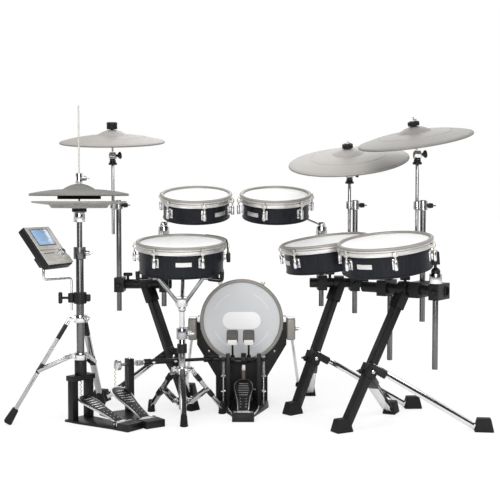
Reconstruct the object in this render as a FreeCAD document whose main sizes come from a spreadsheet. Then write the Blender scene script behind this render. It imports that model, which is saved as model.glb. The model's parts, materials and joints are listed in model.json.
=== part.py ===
import FreeCAD
import Part
import Sketcher
import math
import os
from FreeCAD import Placement, Rotation, Vector

# Electronic drum kit on stands, in millimetres. +X is the player's right, +Y points away from
# the player, +Z is up. The origin is on the floor below the kick drum's head.

SIZES = {
    # clearances
    "fit": 0.2, "running": 0.06, "free_gap": 0.6,
    # drums
    "small_shell_d": 254, "large_shell_d": 305, "shell_wall": 6,
    "tom_height": 95, "floor_tom_height": 105, "snare_height": 115, "kick_depth": 170,
    "hoop_reach": 12, "hoop_height": 30, "hoop_roll": 15, "hoop_step": 2, "hoop_lip": 2,
    "head_drop": 8, "head_skin": 1.2, "collar_width": 4, "collar_height": 14,
    "lug_width": 18, "lug_height": 36, "lug_depth": 22, "lug_drop": 10, "ear_height": 14,
    "rod_d": 6, "rod_head_d": 11, "rod_head_height": 8, "lugs": 6,
    "trigger_bar_width": 30, "trigger_bar_height": 4, "trigger_drop": 26, "cone_d": 34,
    "bracket_width": 40, "bracket_depth": 26, "bracket_height": 44,
    "tom_arm_d": 11, "tom_arm_bend": 18, "tom_arm_drop": 22, "ball_d": 32,
    "holder_d": 44, "holder_height": 34, "holder_drop": 6, "holder_socket": 16,
    "tom_mid_x": -21, "tom_gap": 28, "tom_y": -80, "tom_top": 827, "tom_tilt": 13,
    "snare_x": -217, "snare_y": -305, "snare_top": 654, "snare_tilt": 7,
    "floor_tom_1_x": 306, "floor_tom_1_y": -250, "floor_tom_1_top": 656,
    "floor_tom_1_tilt": 4.2, "floor_tom_1_roll": 7.9,
    "floor_tom_2_post": 143.6, "floor_tom_2_offset": 50.3, "floor_tom_2_top": 666,
    "floor_tom_2_tilt": 7.4, "floor_tom_2_roll": 6.1,
    "kick_centre": 325, "stand_plate": 7, "stand_base_width": 206, "stand_margin": 25.5,
    "stand_top": 330, "stand_waist": 226, "stand_foot_top": 100, "stand_front": 24, "stand_rear": 120,
    "stand_sole_front": -8, "stand_sole_rear": 168,
    "spur_box_width": 36, "spur_box_height": 88, "spur_box_depth": 60, "spur_d": 13,
    "spur_foot_x": 240, "spur_foot_y": 330, "spur_tip_d": 26, "spur_tip_height": 18,
    # rack tripods
    "bar_d": 38, "bar_wall": 3, "leg_width": 34, "leg_depth": 26, "leg_wall": 2.5,
    "strut_width": 30, "strut_depth": 20, "strut_wall": 2, "strut_share": 0.42,
    "post_d": 20, "post_wall": 2.5, "post_offset": 44, "clamp_width": 36, "clamp_height": 56,
    "clamp_wall": 9, "foot_length": 76, "foot_width": 50, "foot_height": 40, "tube_lift": 16,
    "knob_d": 26, "knob_height": 14, "knob_stem_d": 8, "knob_stem": 12,
    "left_bar_x": -376, "left_bar_y": 25, "left_bar_z": 468, "left_bar_length": 196,
    "left_bar_yaw": 0,
    "left_leg_x": -200, "left_leg_y": -140,
    "left_strut_a_x": -557, "left_strut_a_y": 30, "left_strut_b_x": -216, "left_strut_b_y": 150,
    "middle_bar_x": 378, "middle_bar_y": -60, "middle_bar_z": 480, "middle_bar_length": 226,
    "middle_bar_yaw": 0,
    "middle_leg_x": 196, "middle_leg_y": -216,
    "middle_strut_a_x": 655, "middle_strut_a_y": -110,
    "middle_strut_b_x": 278, "middle_strut_b_y": 145,
    "right_bar_x": 582, "right_bar_y": -380, "right_bar_z": 484, "right_bar_length": 330,
    "right_bar_yaw": -35,
    "right_leg_x": 354, "right_leg_y": -507,
    "right_strut_a_x": 839, "right_strut_a_y": -500, "right_strut_b_x": 562, "right_strut_b_y": -205,
    "left_crash_post": -104, "left_tom_post": 72, "middle_tom_post": -65, "ride_post": 57,
    "floor_tom_1_post": -78, "right_crash_post": 50,
    "crash_post_bottom": 366, "crash_post_top": 800,
    "tom_post_bottom": 384, "tom_post_top": 678, "floor_post_bottom": 216, "floor_post_top": 532,
    # cymbals
    "cymbal_rod_d": 12.7, "cymbal_rod_offset": 22, "cymbal_rod_overlap": 134, "rod_clamp_height": 40,
    "crash_d": 406, "ride_d": 457, "cymbal_bow": 25, "bell_d": 115, "bell_height": 20,
    "cymbal_thick": 5, "cymbal_hole_d": 14, "pin_d": 8, "rocker_band": 25, "sway_gap": 0.9,
    "felt_d": 38, "felt_height": 10, "felt_tip_d": 12, "topper_d": 41, "topper_height": 18,
    "tilter_d": 34, "tilter_width": 26, "tilter_gap": 98,
    "left_crash_rim": 1023, "left_crash_tilt": 8, "left_crash_roll": 0,
    "ride_rim": 947, "ride_tilt": 15, "ride_roll": 5.7,
    "right_crash_rim": 1011, "right_crash_tilt": 9.5, "right_crash_roll": 9,
    # pedals
    "pedal_x": 8, "axle_y": -85, "axle_z": 186, "axle_d": 12, "spigot_d": 6, "spigot": 14,
    "pedal_toe_y": -12, "pedal_length": 348, "plate_thick": 8, "heel_width": 80, "toe_width": 194,
    "toe_plate_length": 92, "heel_height": 26, "heel_length": 52, "hinge_d": 6,
    "board_width": 74, "board_heel_width": 56, "board_toe_width": 24, "board_thick": 9, "board_angle": 19,
    "hinge_barrel_d": 15, "hinge_ear": 8, "hinge_z": 20,
    "pedal_post_width": 16, "pedal_post_depth": 34, "pedal_post_spread": 120,
    "post_head_height": 20, "cam_d": 46, "cam_width": 20, "strap_width": 16, "strap_thick": 3,
    "beater_rod_d": 8, "beater_reach": 122, "beater_lean": 39, "beater_d": 43,
    "beater_height": 52, "right_beater_x": 20, "left_beater_x": -42, "hub_width": 16, "hub_d": 30,
    "spring_wire": 1.8, "spring_d": 12, "spring_length": 60, "spring_turns": 14,
    "spring_x": 77, "lever_reach": 26, "lever_width": 10, "lever_height": 8, "split_x": -14,
    "axle_half": 94, "stud_d": 5,
    "slave_x": -298, "slave_y": -452, "slave_yaw": 36, "slave_cam_d": 40,
    "slave_heel_width": 76, "slave_toe_width": 124, "slave_toe_length": 60, "slave_post_x": 49,
    "slave_post_width": 22, "slave_axle": 78, "slave_cam_width": 14, "linkage_d": 13,
    "linkage_sleeve_d": 20, "yoke_d": 24, "yoke_length": 26, "yoke_ball_d": 18, "yoke_neck": 8,
    # hi-hat
    "hihat_x": -581, "hihat_y": -330, "hihat_yaw": 53,
    "hihat_reach": 203, "hihat_toe": 30, "hihat_plate_heel": 76, "hihat_plate_toe": 104,
    "hihat_toe_length": 64,
    "frame_post_width": 26, "frame_post_depth": 26, "frame_spread": 76, "frame_top": 168,
    "frame_beam": 18, "hihat_lower_d": 28, "hihat_lower_top": 588, "hihat_upper_d": 20,
    "hihat_upper_top": 721, "tube_wall": 2, "hihat_rod_d": 6, "hihat_rod_top": 1138,
    "chain_top": 140, "chain_width": 10, "neck_d": 44, "neck_height": 54, "rod_room": 2,
    "cup_d": 41, "cup_height": 36, "seat_d": 51, "seat_height": 14,
    "hihat_hub_d": 205, "hihat_bottom_d": 340, "hihat_bottom_rise": 23,
    "sensor_d": 150, "sensor_height": 12, "hihat_top_d": 356, "hihat_top_rim": 818, "hihat_top_bow": 16,
    "clutch_d": 24, "clutch_height": 38, "clutch_nut": 12, "upper_overlap": 180, "ring_wall": 8,
    "ring_height": 43, "hihat_hub_z": 372, "hihat_collar_z": 236,
    "hub_height": 26, "hub_wall": 9, "hihat_leg_reach": 252, "hihat_leg_thick": 12, "pivot_out": 15, "pivot_d": 5, "pivot_ear": 4,
    "hihat_leg_width": 20, "hihat_brace_share": 0.52, "brace_width": 14, "brace_thick": 3,
    "hihat_left_leg": 196, "hihat_right_leg": 82, "rubber_foot_d": 30, "rubber_foot_height": 36,
    # snare stand
    "snare_tube_d": 25, "snare_tube_top": 290, "snare_clamp_height": 40, "snare_tube_foot": 30,
    "snare_inner_d": 20, "snare_leg_reach": 157, "snare_hub_z": 174, "snare_collar_z": 58,
    "snare_leg_thick": 10, "snare_leg_width": 18, "snare_brace_share": 0.5,
    "snare_leg_front": 276, "snare_leg_right": 22, "snare_leg_left": 142,
    "basket_nut_d": 47, "basket_nut_height": 32, "basket_arm_d": 11, "basket_arm_bend": 9,
    "basket_pad": 8, "basket_claw": 30, "basket_reach": 20, "basket_ball_d": 32,
    "basket_drop": 96,
    # sound module
    "module_x": -672, "module_y": -430, "module_z": 642, "module_width": 158,
    "module_length": 166, "module_depth": 31, "module_yaw": 68, "module_slope": 52,
    "module_wall": 3, "panel_thick": 3, "module_knob_d": 22, "module_knob_height": 14,
    "module_rod_d": 9.5, "module_clamp_z": 447, "module_arm_z": 520, "module_arm_bend": 12,
    "module_rod_x": -31, "module_rod_low": 402, "module_block": 40, "module_block_drop": 28,
    "module_knob_x": 46, "module_knob_y": -34, "board_inset": 12, "board_sheet": 2,
}

doc = FreeCAD.newDocument("ElectronicDrumKit")
sheet = doc.addObject("Spreadsheet::Sheet", "Sizes")
for row, (alias, value) in enumerate(SIZES.items(), 1):
    sheet.set(f"A{row}", alias)
    sheet.set(f"B{row}", str(value))
    sheet.setAlias(f"B{row}", alias)
doc.recompute()


class Size:
    """A number from the sheet together with the expression that gives it."""

    def __init__(self, value, text):
        self.value = float(value)
        self.text = text

    def __add__(self, other):
        return Size(self.value + number(other), f"({self.text} + {words(other)})")

    def __sub__(self, other):
        return Size(self.value - number(other), f"({self.text} - {words(other)})")

    def __mul__(self, other):
        return Size(self.value * number(other), f"({self.text} * {words(other)})")

    def __truediv__(self, other):
        return Size(self.value / number(other), f"({self.text} / {words(other)})")

    def __neg__(self):
        return Size(-self.value, f"(0 - {self.text})")

    def __float__(self):
        return self.value


def number(value):
    return value.value if isinstance(value, Size) else float(value)


def words(value):
    return value.text if isinstance(value, Size) else repr(float(value))


class Sheet:
    """Each alias of the sheet as a Size."""

    def __getattr__(self, alias):
        return Size(sheet.get(alias), f"Sizes.{alias}")


s = Sheet()
NODES = []


def get(alias):
    return getattr(s, alias)


def bind(thing, name, value):
    setattr(thing, name, number(value))
    if isinstance(value, Size):
        thing.setExpression(name, value.text)


def vec(x, y, z):
    return Vector(number(x), number(y), number(z))


def unit(vector):
    return Vector(vector).normalize()


def facing(axis, side=None):
    """Rotation whose local Z lies along axis and whose local X lies towards side."""
    z = unit(axis)
    if side is None:
        return Rotation(Vector(0, 0, 1), z)
    y = unit(z.cross(side))
    x = unit(y.cross(z))
    return Rotation(x, y, z, "ZXY")


def cylinder(name, diameter, height, at=Vector(), along=Vector(0, 0, 1)):
    piece = doc.addObject("Part::Cylinder", name)
    bind(piece, "Radius", diameter / 2)
    bind(piece, "Height", height)
    piece.Placement = Placement(at, facing(along))
    return piece


def cone(name, bottom_d, top_d, height, at=Vector(), along=Vector(0, 0, 1)):
    piece = doc.addObject("Part::Cone", name)
    bind(piece, "Radius1", bottom_d / 2)
    bind(piece, "Radius2", top_d / 2)
    bind(piece, "Height", height)
    piece.Placement = Placement(at, facing(along))
    return piece


def ball(name, diameter, at):
    piece = doc.addObject("Part::Sphere", name)
    bind(piece, "Radius", diameter / 2)
    piece.Placement = Placement(at, Rotation())
    return piece


def rod(name, start, end, diameter):
    return cylinder(name, diameter, (end - start).Length, start, end - start)


def box(name, length, width, height, centre=Vector(), turn=Rotation()):
    """Box of the given sizes along its own X, Y and Z, set by its centre."""
    piece = doc.addObject("Part::Box", name)
    bind(piece, "Length", length)
    bind(piece, "Width", width)
    bind(piece, "Height", height)
    corner = vec(-number(length) / 2, -number(width) / 2, -number(height) / 2)
    piece.Placement = Placement(centre + turn.multVec(corner), turn)
    return piece


def bar(name, start, end, width, depth, side):
    """Rectangular bar from start to end, its width lying towards side."""
    length = (end - start).Length
    return box(name, width, depth, length, (start + end) * 0.5, facing(end - start, side))


def cut(name, base, *tools):
    result = doc.addObject("Part::Cut", name)
    result.Base = base
    result.Tool = tools[0] if len(tools) == 1 else join(name + "_tools", *tools)
    return result


def join(name, *pieces):
    result = doc.addObject("Part::MultiFuse", name)
    result.Shapes = list(pieces)
    return result


def tube(name, start, end, diameter, wall):
    return cut(name, rod(name + "_outside", start, end, diameter),
               rod(name + "_bore", start, end, diameter - wall * 2))


def square_tube(name, start, end, width, depth, wall, side):
    return cut(name, bar(name + "_outside", start, end, width, depth, side),
               bar(name + "_bore", start, end, width - wall * 2, depth - wall * 2, side))


def plane(body, role):
    return [feature for feature in body.Origin.OriginFeatures if feature.Role == role][0]


def outline(body, name, role, points):
    """Closed sketch through points, each held at its place by two driven distances."""
    sketch = body.newObject("Sketcher::SketchObject", name)
    sketch.AttachmentSupport = [(plane(body, role), "")]
    sketch.MapMode = "FlatFace"
    spots = [vec(x, y, 0) for x, y in points]
    count = len(points)
    for i in range(count):
        sketch.addGeometry(Part.LineSegment(spots[i], spots[(i + 1) % count]), False)
    for i in range(count):
        sketch.addConstraint(Sketcher.Constraint("Coincident", i, 2, (i + 1) % count, 1))
    for i, point in enumerate(points):
        for kind, value in zip(("DistanceX", "DistanceY"), point):
            held = sketch.addConstraint(Sketcher.Constraint(kind, -1, 1, i, 1, number(value)))
            if isinstance(value, Size):
                sketch.setExpression(f"Constraints[{held}]", value.text)
    return sketch


def turned(name, points, where=Placement()):
    """Body of revolution about Z from radius and height pairs."""
    body = doc.addObject("PartDesign::Body", name)
    turn = body.newObject("PartDesign::Revolution", name + "_turn")
    turn.Profile = outline(body, name + "_profile", "XZ_Plane", points)
    turn.ReferenceAxis = (turn.Profile[0], ["V_Axis"])
    turn.Angle = 360
    body.Tip = turn
    body.Placement = where
    return body


def padded(name, role, points, depth, where=Placement()):
    """Plate made by padding an outline."""
    body = doc.addObject("PartDesign::Body", name)
    pad = body.newObject("PartDesign::Pad", name + "_pad")
    pad.Profile = outline(body, name + "_profile", role, points)
    bind(pad, "Length", depth)
    body.Tip = pad
    body.Placement = where
    return body


def pipe(name, points, diameter, bend):
    """Rod bent with equal radii at the inner points."""
    edges = []
    last = points[0]
    for before, corner, after in zip(points, points[1:], points[2:]):
        back = unit(before - corner)
        ahead = unit(after - corner)
        half = back.getAngle(ahead) / 2
        reach = number(bend) / math.tan(half)
        middle = corner + unit(back + ahead) * (number(bend) / math.sin(half) - number(bend))
        edges.append(Part.LineSegment(last, corner + back * reach).toShape())
        last = corner + ahead * reach
        edges.append(Part.Arc(corner + back * reach, middle, last).toShape())
    edges.append(Part.LineSegment(last, points[-1]).toShape())
    path = Part.Wire(edges)
    section = Part.Wire(Part.Circle(points[0], points[1] - points[0], number(diameter) / 2).toShape())
    feature = doc.addObject("Part::Feature", name)
    feature.Shape = path.makePipeShell([section], True, True)
    return feature


def node(name, pieces, where=Placement()):
    """Group of separate solids that is kept under one name."""
    result = doc.addObject("Part::Compound", name)
    result.Links = pieces
    result.Label = name
    result.Placement = where
    NODES.append(result)
    return result


# Drums. The local origin is the centre of the hoop's top, and Z is the drum's axis.

def around(radius, angle, height):
    """Point at an angle counted from the player's side towards the right."""
    bearing = math.radians(number(angle))
    return Vector(number(radius) * math.sin(bearing), -number(radius) * math.cos(bearing), number(height))


def leaning(tilt, roll=0.0):
    """Tilt towards the player and roll that lifts the right side."""
    return Rotation(Vector(1, 0, 0), number(tilt)) * Rotation(Vector(0, 1, 0), -number(roll))


def upright(angle):
    return Rotation(Vector(0, 0, 1), number(angle))


def hoop_piece(name, shell_r, angles, rod_circle):
    outer = shell_r + s.hoop_reach
    inner = shell_r + s.collar_width + s.fit * 2
    under = s.fit - s.head_drop
    ring = turned(name + "_ring", [
        (shell_r - s.hoop_lip, 0), (outer, 0), (outer, -s.hoop_roll),
        (outer - s.hoop_step, -s.hoop_roll), (outer - s.hoop_step, -s.hoop_height),
        (inner, -s.hoop_height), (inner, under), (shell_r - s.hoop_lip, under)])
    ear_in = outer - s.hoop_step * 1.5
    ear_out = rod_circle + s.rod_head_d / 2
    ears = []
    bores = []
    for angle in angles:
        middle = s.ear_height / 2 - s.hoop_height
        ears.append(box(name + "_ear", s.lug_width, ear_out - ear_in, s.ear_height,
                        around((ear_in + ear_out) / 2, angle, middle), upright(angle)))
        bores.append(cylinder(name + "_hole", s.rod_d + s.fit * 2, s.ear_height * 3,
                              around(rod_circle, angle, middle - s.ear_height * 1.5)))
    return cut(name + "_drilled", join(name + "_eared", ring, *ears), *bores)


def drum(name, diameter, height, first_lug, where, carried=()):
    """Shell, mesh head, and the fittings: hoop, tension rods, lugs, trigger and any mount."""
    shell_r = diameter / 2
    rod_circle = shell_r + s.hoop_reach + s.hoop_step * 3
    angles = [number(first_lug) + i * 360 / int(s.lugs.value) for i in range(int(s.lugs.value))]
    edge = -s.head_drop - s.head_skin - s.fit
    wall = cut(name + "_wall",
               cylinder(name + "_outside", diameter, height + edge, Vector(0, 0, -number(height))),
               cylinder(name + "_inside", diameter - s.shell_wall * 2, height + edge,
                        Vector(0, 0, -number(height))))
    lug_top = -s.hoop_height - s.lug_drop
    rod_bottom = lug_top - s.lug_height * 0.6
    ear_top = s.ear_height - s.hoop_height
    lugs = []
    rods = []
    for angle in angles:
        lug = box(name + "_lug", s.lug_width, s.lug_depth, s.lug_height,
                  around(shell_r + s.fit + s.lug_depth / 2, angle, lug_top - s.lug_height / 2),
                  upright(angle))
        lugs.append(cut(name + "_drilled_lug", lug,
                        cylinder(name + "_thread", s.rod_d + s.fit * 2, s.lug_height,
                                 around(rod_circle, angle, rod_bottom - s.fit))))
        shank = cylinder(name + "_shank", s.rod_d, ear_top - rod_bottom,
                         around(rod_circle, angle, rod_bottom))
        key = cylinder(name + "_key_head", s.rod_head_d, s.rod_head_height,
                       around(rod_circle, angle, ear_top))
        rods.append(join(name + "_rod", shank, key))
    bar_top = edge - s.trigger_drop
    inside = number(shell_r - s.shell_wall)
    span = 2 * math.sqrt(inside ** 2 - (number(s.trigger_bar_width) / 2) ** 2) - 2 * number(s.fit)
    trigger_bar = box(name + "_trigger_bar", span, s.trigger_bar_width, s.trigger_bar_height,
                      vec(0, 0, bar_top - s.trigger_bar_height / 2))
    foam = cone(name + "_trigger_cone", s.cone_d, s.cone_d / 2, edge - bar_top + s.fit - s.fit / 2,
                vec(0, 0, bar_top))
    node(name + "_shell", [wall], where)
    skin_r = shell_r + s.fit + s.collar_width
    head = turned(name + "_skin", [
        (0, -s.head_drop), (skin_r, -s.head_drop), (skin_r, -s.head_drop - s.collar_height),
        (shell_r + s.fit, -s.head_drop - s.collar_height),
        (shell_r + s.fit, -s.head_drop - s.head_skin), (0, -s.head_drop - s.head_skin)])
    node(name + "_head", [head], where)
    hoop = hoop_piece(name, shell_r, angles, rod_circle)
    node(name + "_fittings", [hoop, *rods, *lugs, trigger_bar, foam, *carried], where)


def arm_end(diameter, height, angle):
    """Lower end of a straight arm that hangs from the bracket of a drum, in the drum's own frame."""
    reach = diameter / 2 + s.fit + s.bracket_depth / 2
    return around(reach, angle, -height - s.tom_arm_drop - s.holder_drop)


def tom_mount(name, diameter, height, angle, where, socket, bent=True):
    """Bracket on the shell and the arm that runs from it down to a ball at socket."""
    reach = diameter / 2 + s.fit + s.bracket_depth / 2
    top = -height + s.bracket_height + s.fit
    bracket = box(name + "_bracket_block", s.bracket_width, s.bracket_depth, s.bracket_height,
                  around(reach, angle, top - s.bracket_height / 2), upright(angle))
    high = around(reach, angle, top)
    low = where.inverse().multVec(socket)
    if bent:
        corner = around(reach, angle, -height - s.tom_arm_drop)
        arm = pipe(name + "_arm_rod", [high, corner, low], s.tom_arm_d, s.tom_arm_bend)
    else:
        arm = rod(name + "_arm_rod", high, low, s.tom_arm_d)
    bored = cut(name + "_bracket", bracket,
                rod(name + "_bracket_bore", around(reach, angle, top + s.fit),
                    around(reach, angle, -height - s.fit), s.tom_arm_d + s.fit * 2))
    return [bored, join(name + "_arm", arm, ball(name + "_ball", s.ball_d, low))]


# Rack tripods: a cross bar on a slanted main leg, two rear struts, and posts clamped to the bar.

rack_frames, rack_struts, rack_posts, rack_clamps, rack_feet = [], [], [], [], []


def floor_point(prefix):
    return vec(get(prefix + "_x"), get(prefix + "_y"), 0)


def leg_to_floor(name, top, floor, width, depth, wall):
    """Rectangular tube from top down to its rubber block on the floor."""
    run = unit(top - floor)
    side = Vector(-run.y, run.x, 0)
    start = floor + run * (number(s.tube_lift) / run.z)
    leg = square_tube(name, start, top, width, depth, wall, side)
    grown = bar(name + "_room", start - run * number(s.fit), top, width + s.fit * 2, depth + s.fit * 2,
                side)
    flat = facing(Vector(0, 0, 1), Vector(run.x, run.y, 0))
    block = box(name + "_block", s.foot_length, s.foot_width, s.foot_height,
                floor + vec(0, 0, s.foot_height / 2), flat)
    rack_feet.append(cut(name + "_foot", block, grown))
    return leg, grown, run, side


def knob(name, at, outward):
    """Round knob on a stem, screwed into the face at the given point."""
    stem = cylinder(name + "_stem", s.knob_stem_d, s.knob_stem, at, outward)
    grip = cylinder(name + "_grip", s.knob_d, s.knob_height, at + outward * number(s.knob_stem), outward)
    return join(name, stem, grip)


class Rack:
    """One tripod, with the bar's axis and its direction towards the player."""

    def __init__(self, name):
        self.name = name
        self.centre = vec(get(name + "_bar_x"), get(name + "_bar_y"), get(name + "_bar_z"))
        yaw = math.radians(get(name + "_bar_yaw").value)
        self.along = Vector(math.cos(yaw), math.sin(yaw), 0)
        self.front = Vector(math.sin(yaw), -math.cos(yaw), 0)
        length = get(name + "_bar_length")
        ends = [self.centre + self.along * (sign * length.value / 2) for sign in (-1, 1)]
        rack_frames.append(tube(name + "_bar", ends[0], ends[1], s.bar_d, s.bar_wall))
        self.bar_room = rod(name + "_bar_room", ends[0], ends[1], s.bar_d + s.fit * 2)
        leg, leg_room, run, side = leg_to_floor(
            name + "_leg", self.centre, floor_point(name + "_leg"), s.leg_width, s.leg_depth, s.leg_wall)
        rack_frames.append(cut(name + "_fitted_leg", leg, self.bar_room))
        wall = s.clamp_wall
        half = number(s.clamp_width) / 2
        sleeve = rod(name + "_tee_sleeve", self.centre - self.along * half, self.centre + self.along * half,
                     s.bar_d + wall * 2)
        boot = bar(name + "_tee_boot", self.centre - run * number(s.clamp_height + s.bar_d / 2), self.centre,
                   s.leg_width + wall, s.leg_depth + wall, side)
        rack_clamps.append(cut(name + "_tee", join(name + "_tee_body", sleeve, boot),
                               self.bar_room, leg_room))
        self.add_struts(floor_point(name + "_leg"), leg_room, run, side)

    def add_struts(self, foot, leg_room, run, side):
        share = s.strut_share.value
        middle = foot + (self.centre - foot) * share
        gap = number(s.strut_depth) * 1.1
        block = bar(self.name + "_strut_block", middle - run * gap * 2, middle + run * gap * 2,
                    s.leg_width + s.clamp_wall * 2, s.leg_depth + s.clamp_wall * 2, side)
        rooms = [leg_room]
        for letter, sign in (("a", 1), ("b", -1)):
            name = f"{self.name}_strut_{letter}"
            strut, room, _, _ = leg_to_floor(name, middle + run * (gap * sign), floor_point(name),
                                             s.strut_width, s.strut_depth, s.strut_wall)
            rack_struts.append(cut(name + "_fitted", strut, leg_room))
            rooms.append(room)
        rack_clamps.append(cut(self.name + "_strut_clamp", block, *rooms))

    def post(self, name, place, bottom, top):
        """Upright tube at place, held to the bar by a bored block with a knob."""
        spread = (place - self.centre).dot(self.front)
        along = (place - self.centre).dot(self.along)
        foot = Vector(place.x, place.y, number(bottom))
        head = Vector(place.x, place.y, number(top))
        rack_posts.append(tube(name + "_post", foot, head, s.post_d, s.post_wall))
        room = rod(name + "_post_room", foot, head, s.post_d + s.fit * 2)
        sign = math.copysign(1, spread)
        back = -sign * number(s.bar_d / 2 + s.clamp_wall)
        ahead = spread + sign * number(s.post_d / 2 + s.clamp_wall)
        centre = self.centre + self.along * along + self.front * ((back + ahead) / 2)
        block = box(name + "_clamp_block", s.clamp_width, abs(ahead - back), s.clamp_height, centre,
                    facing(Vector(0, 0, 1), self.along))
        rack_clamps.append(cut(name + "_clamp", block, self.bar_room, room))
        face = self.centre + self.along * along + self.front * ahead
        rack_clamps.append(knob(name + "_knob", face, self.front * sign))
        return head, room

    def spot(self, along, spread):
        return self.centre + self.along * number(along) + self.front * number(spread)

    def tom_post(self, name, place, bottom, top):
        """Post that carries a ball socket; gives back the ball's centre."""
        head, room = self.post(name, place, bottom, top)
        centre = head + vec(0, 0, s.holder_height - s.holder_socket + s.holder_drop)
        cup = cylinder(name + "_holder_cup", s.holder_d, s.holder_height,
                       centre - vec(0, 0, s.holder_height + s.holder_drop))
        rack_clamps.append(cut(name + "_holder", cup, room,
                               ball(name + "_socket", s.ball_d + s.fit * 3, centre)))
        return centre

    def cymbal_post(self, name, place, rim, tilt, roll, diameter):
        """Post, side rod, tilter, felts and cymbal."""
        head, room = self.post(name, place, s.crash_post_bottom, s.crash_post_top)
        lean = leaning(tilt, roll)
        normal = lean.multVec(Vector(0, 0, 1))
        rise = number(s.bell_height + s.cymbal_bow)
        base = place - Vector(number(s.cymbal_rod_offset), 0, 0)
        seat = Vector(base.x, base.y, number(rim) + (rise - number(s.tilter_gap)) * normal.z)
        centre = seat + normal * number(s.tilter_gap)
        low = Vector(base.x, base.y, number(s.crash_post_top) - number(s.cymbal_rod_overlap))
        rack_posts.append(rod(name + "_rod", low, seat, s.cymbal_rod_d))
        rod_room = rod(name + "_rod_room", low, seat + vec(0, 0, s.fit), s.cymbal_rod_d + s.fit * 2)
        block_d = s.post_d + s.clamp_wall * 2
        middle = (place + base) * 0.5
        block = box(name + "_rod_block", s.cymbal_rod_offset + block_d, block_d, s.rod_clamp_height,
                    Vector(middle.x, middle.y, head.z - number(s.rod_clamp_height) / 2))
        rack_clamps.append(cut(name + "_rod_clamp", block, room, rod_room))
        face = Vector(middle.x + number(s.cymbal_rod_offset + block_d) / 2, middle.y,
                      head.z - number(s.rod_clamp_height) / 2)
        rack_clamps.append(knob(name + "_rod_knob", face, Vector(1, 0, 0)))
        width = number(s.tilter_width) / 2
        barrel = rod(name + "_tilter_barrel", seat - Vector(width, 0, 0), seat + Vector(width, 0, 0),
                     s.tilter_d)
        rack_posts.append(cut(name + "_tilter", barrel, rod_room))
        rack_posts.append(knob(name + "_tilter_wing", seat + Vector(width, 0, 0), Vector(1, 0, 0)))
        self.felts(name, seat, centre, normal)
        self.cymbal(name, diameter, Placement(centre, lean))
        return centre + normal * number(s.cymbal_thick / 2)

    def felts(self, name, seat, centre, normal):
        top = s.cymbal_thick + s.sway_gap
        pin_top = centre + normal * number(top + s.felt_height + s.topper_height)
        pin_foot = seat + normal * number(s.tilter_d / 2 + s.sway_gap)
        rack_posts.append(rod(name + "_pin", pin_foot, pin_top, s.pin_d))
        room = rod(name + "_pin_room", pin_foot, pin_top + normal, s.pin_d + s.fit * 2)
        lower = cone(name + "_lower_felt_cone", s.felt_d, s.felt_tip_d, s.felt_height,
                     centre - normal * number(s.sway_gap + s.felt_height), normal)
        rocker = ball(name + "_rocker_ball", s.cymbal_hole_d - s.running * 2,
                      centre + normal * number(s.cymbal_thick / 2))
        rocker.Placement.Rotation = facing(normal)
        bind(rocker, "Angle1", -s.rocker_band)
        bind(rocker, "Angle2", s.rocker_band)
        upper = cone(name + "_upper_felt_cone", s.felt_tip_d, s.topper_d, s.felt_height,
                     centre + normal * number(top), normal)
        topper = rod(name + "_topper_knob", centre + normal * number(top + s.felt_height),
                     pin_top, s.topper_d)
        for kind, piece in (("lower_felt", lower), ("rocker", rocker), ("upper_felt", upper),
                            ("topper", topper)):
            rack_posts.append(cut(f"{name}_{kind}", piece, room))

    def cymbal(self, name, diameter, where):
        node(name, [cymbal_body(name + "_plate", diameter, s.cymbal_bow, s.bell_d, s.bell_height)], where)


def cymbal_body(name, diameter, bow, bell_d, bell_height):
    """Domed bell on a bowed plate, from the hole out to the rim."""
    hole_r = s.cymbal_hole_d / 2
    bell_r = bell_d / 2
    steps = 5
    under = []
    for i in range(steps + 1):
        share = i / steps
        under.append((hole_r + (bell_r - hole_r) * share, -bell_height * share ** 2))
    for i in range(1, steps + 1):
        share = i / steps
        under.append((bell_r + (diameter / 2 - bell_r) * share,
                      -bell_height - bow * (0.35 * share + 0.65 * share ** 2)))
    over = [(radius, height + s.cymbal_thick) for radius, height in reversed(under)]
    return turned(name, under + over)


# Kick drum, its V-shaped stand and its spurs.

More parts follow.
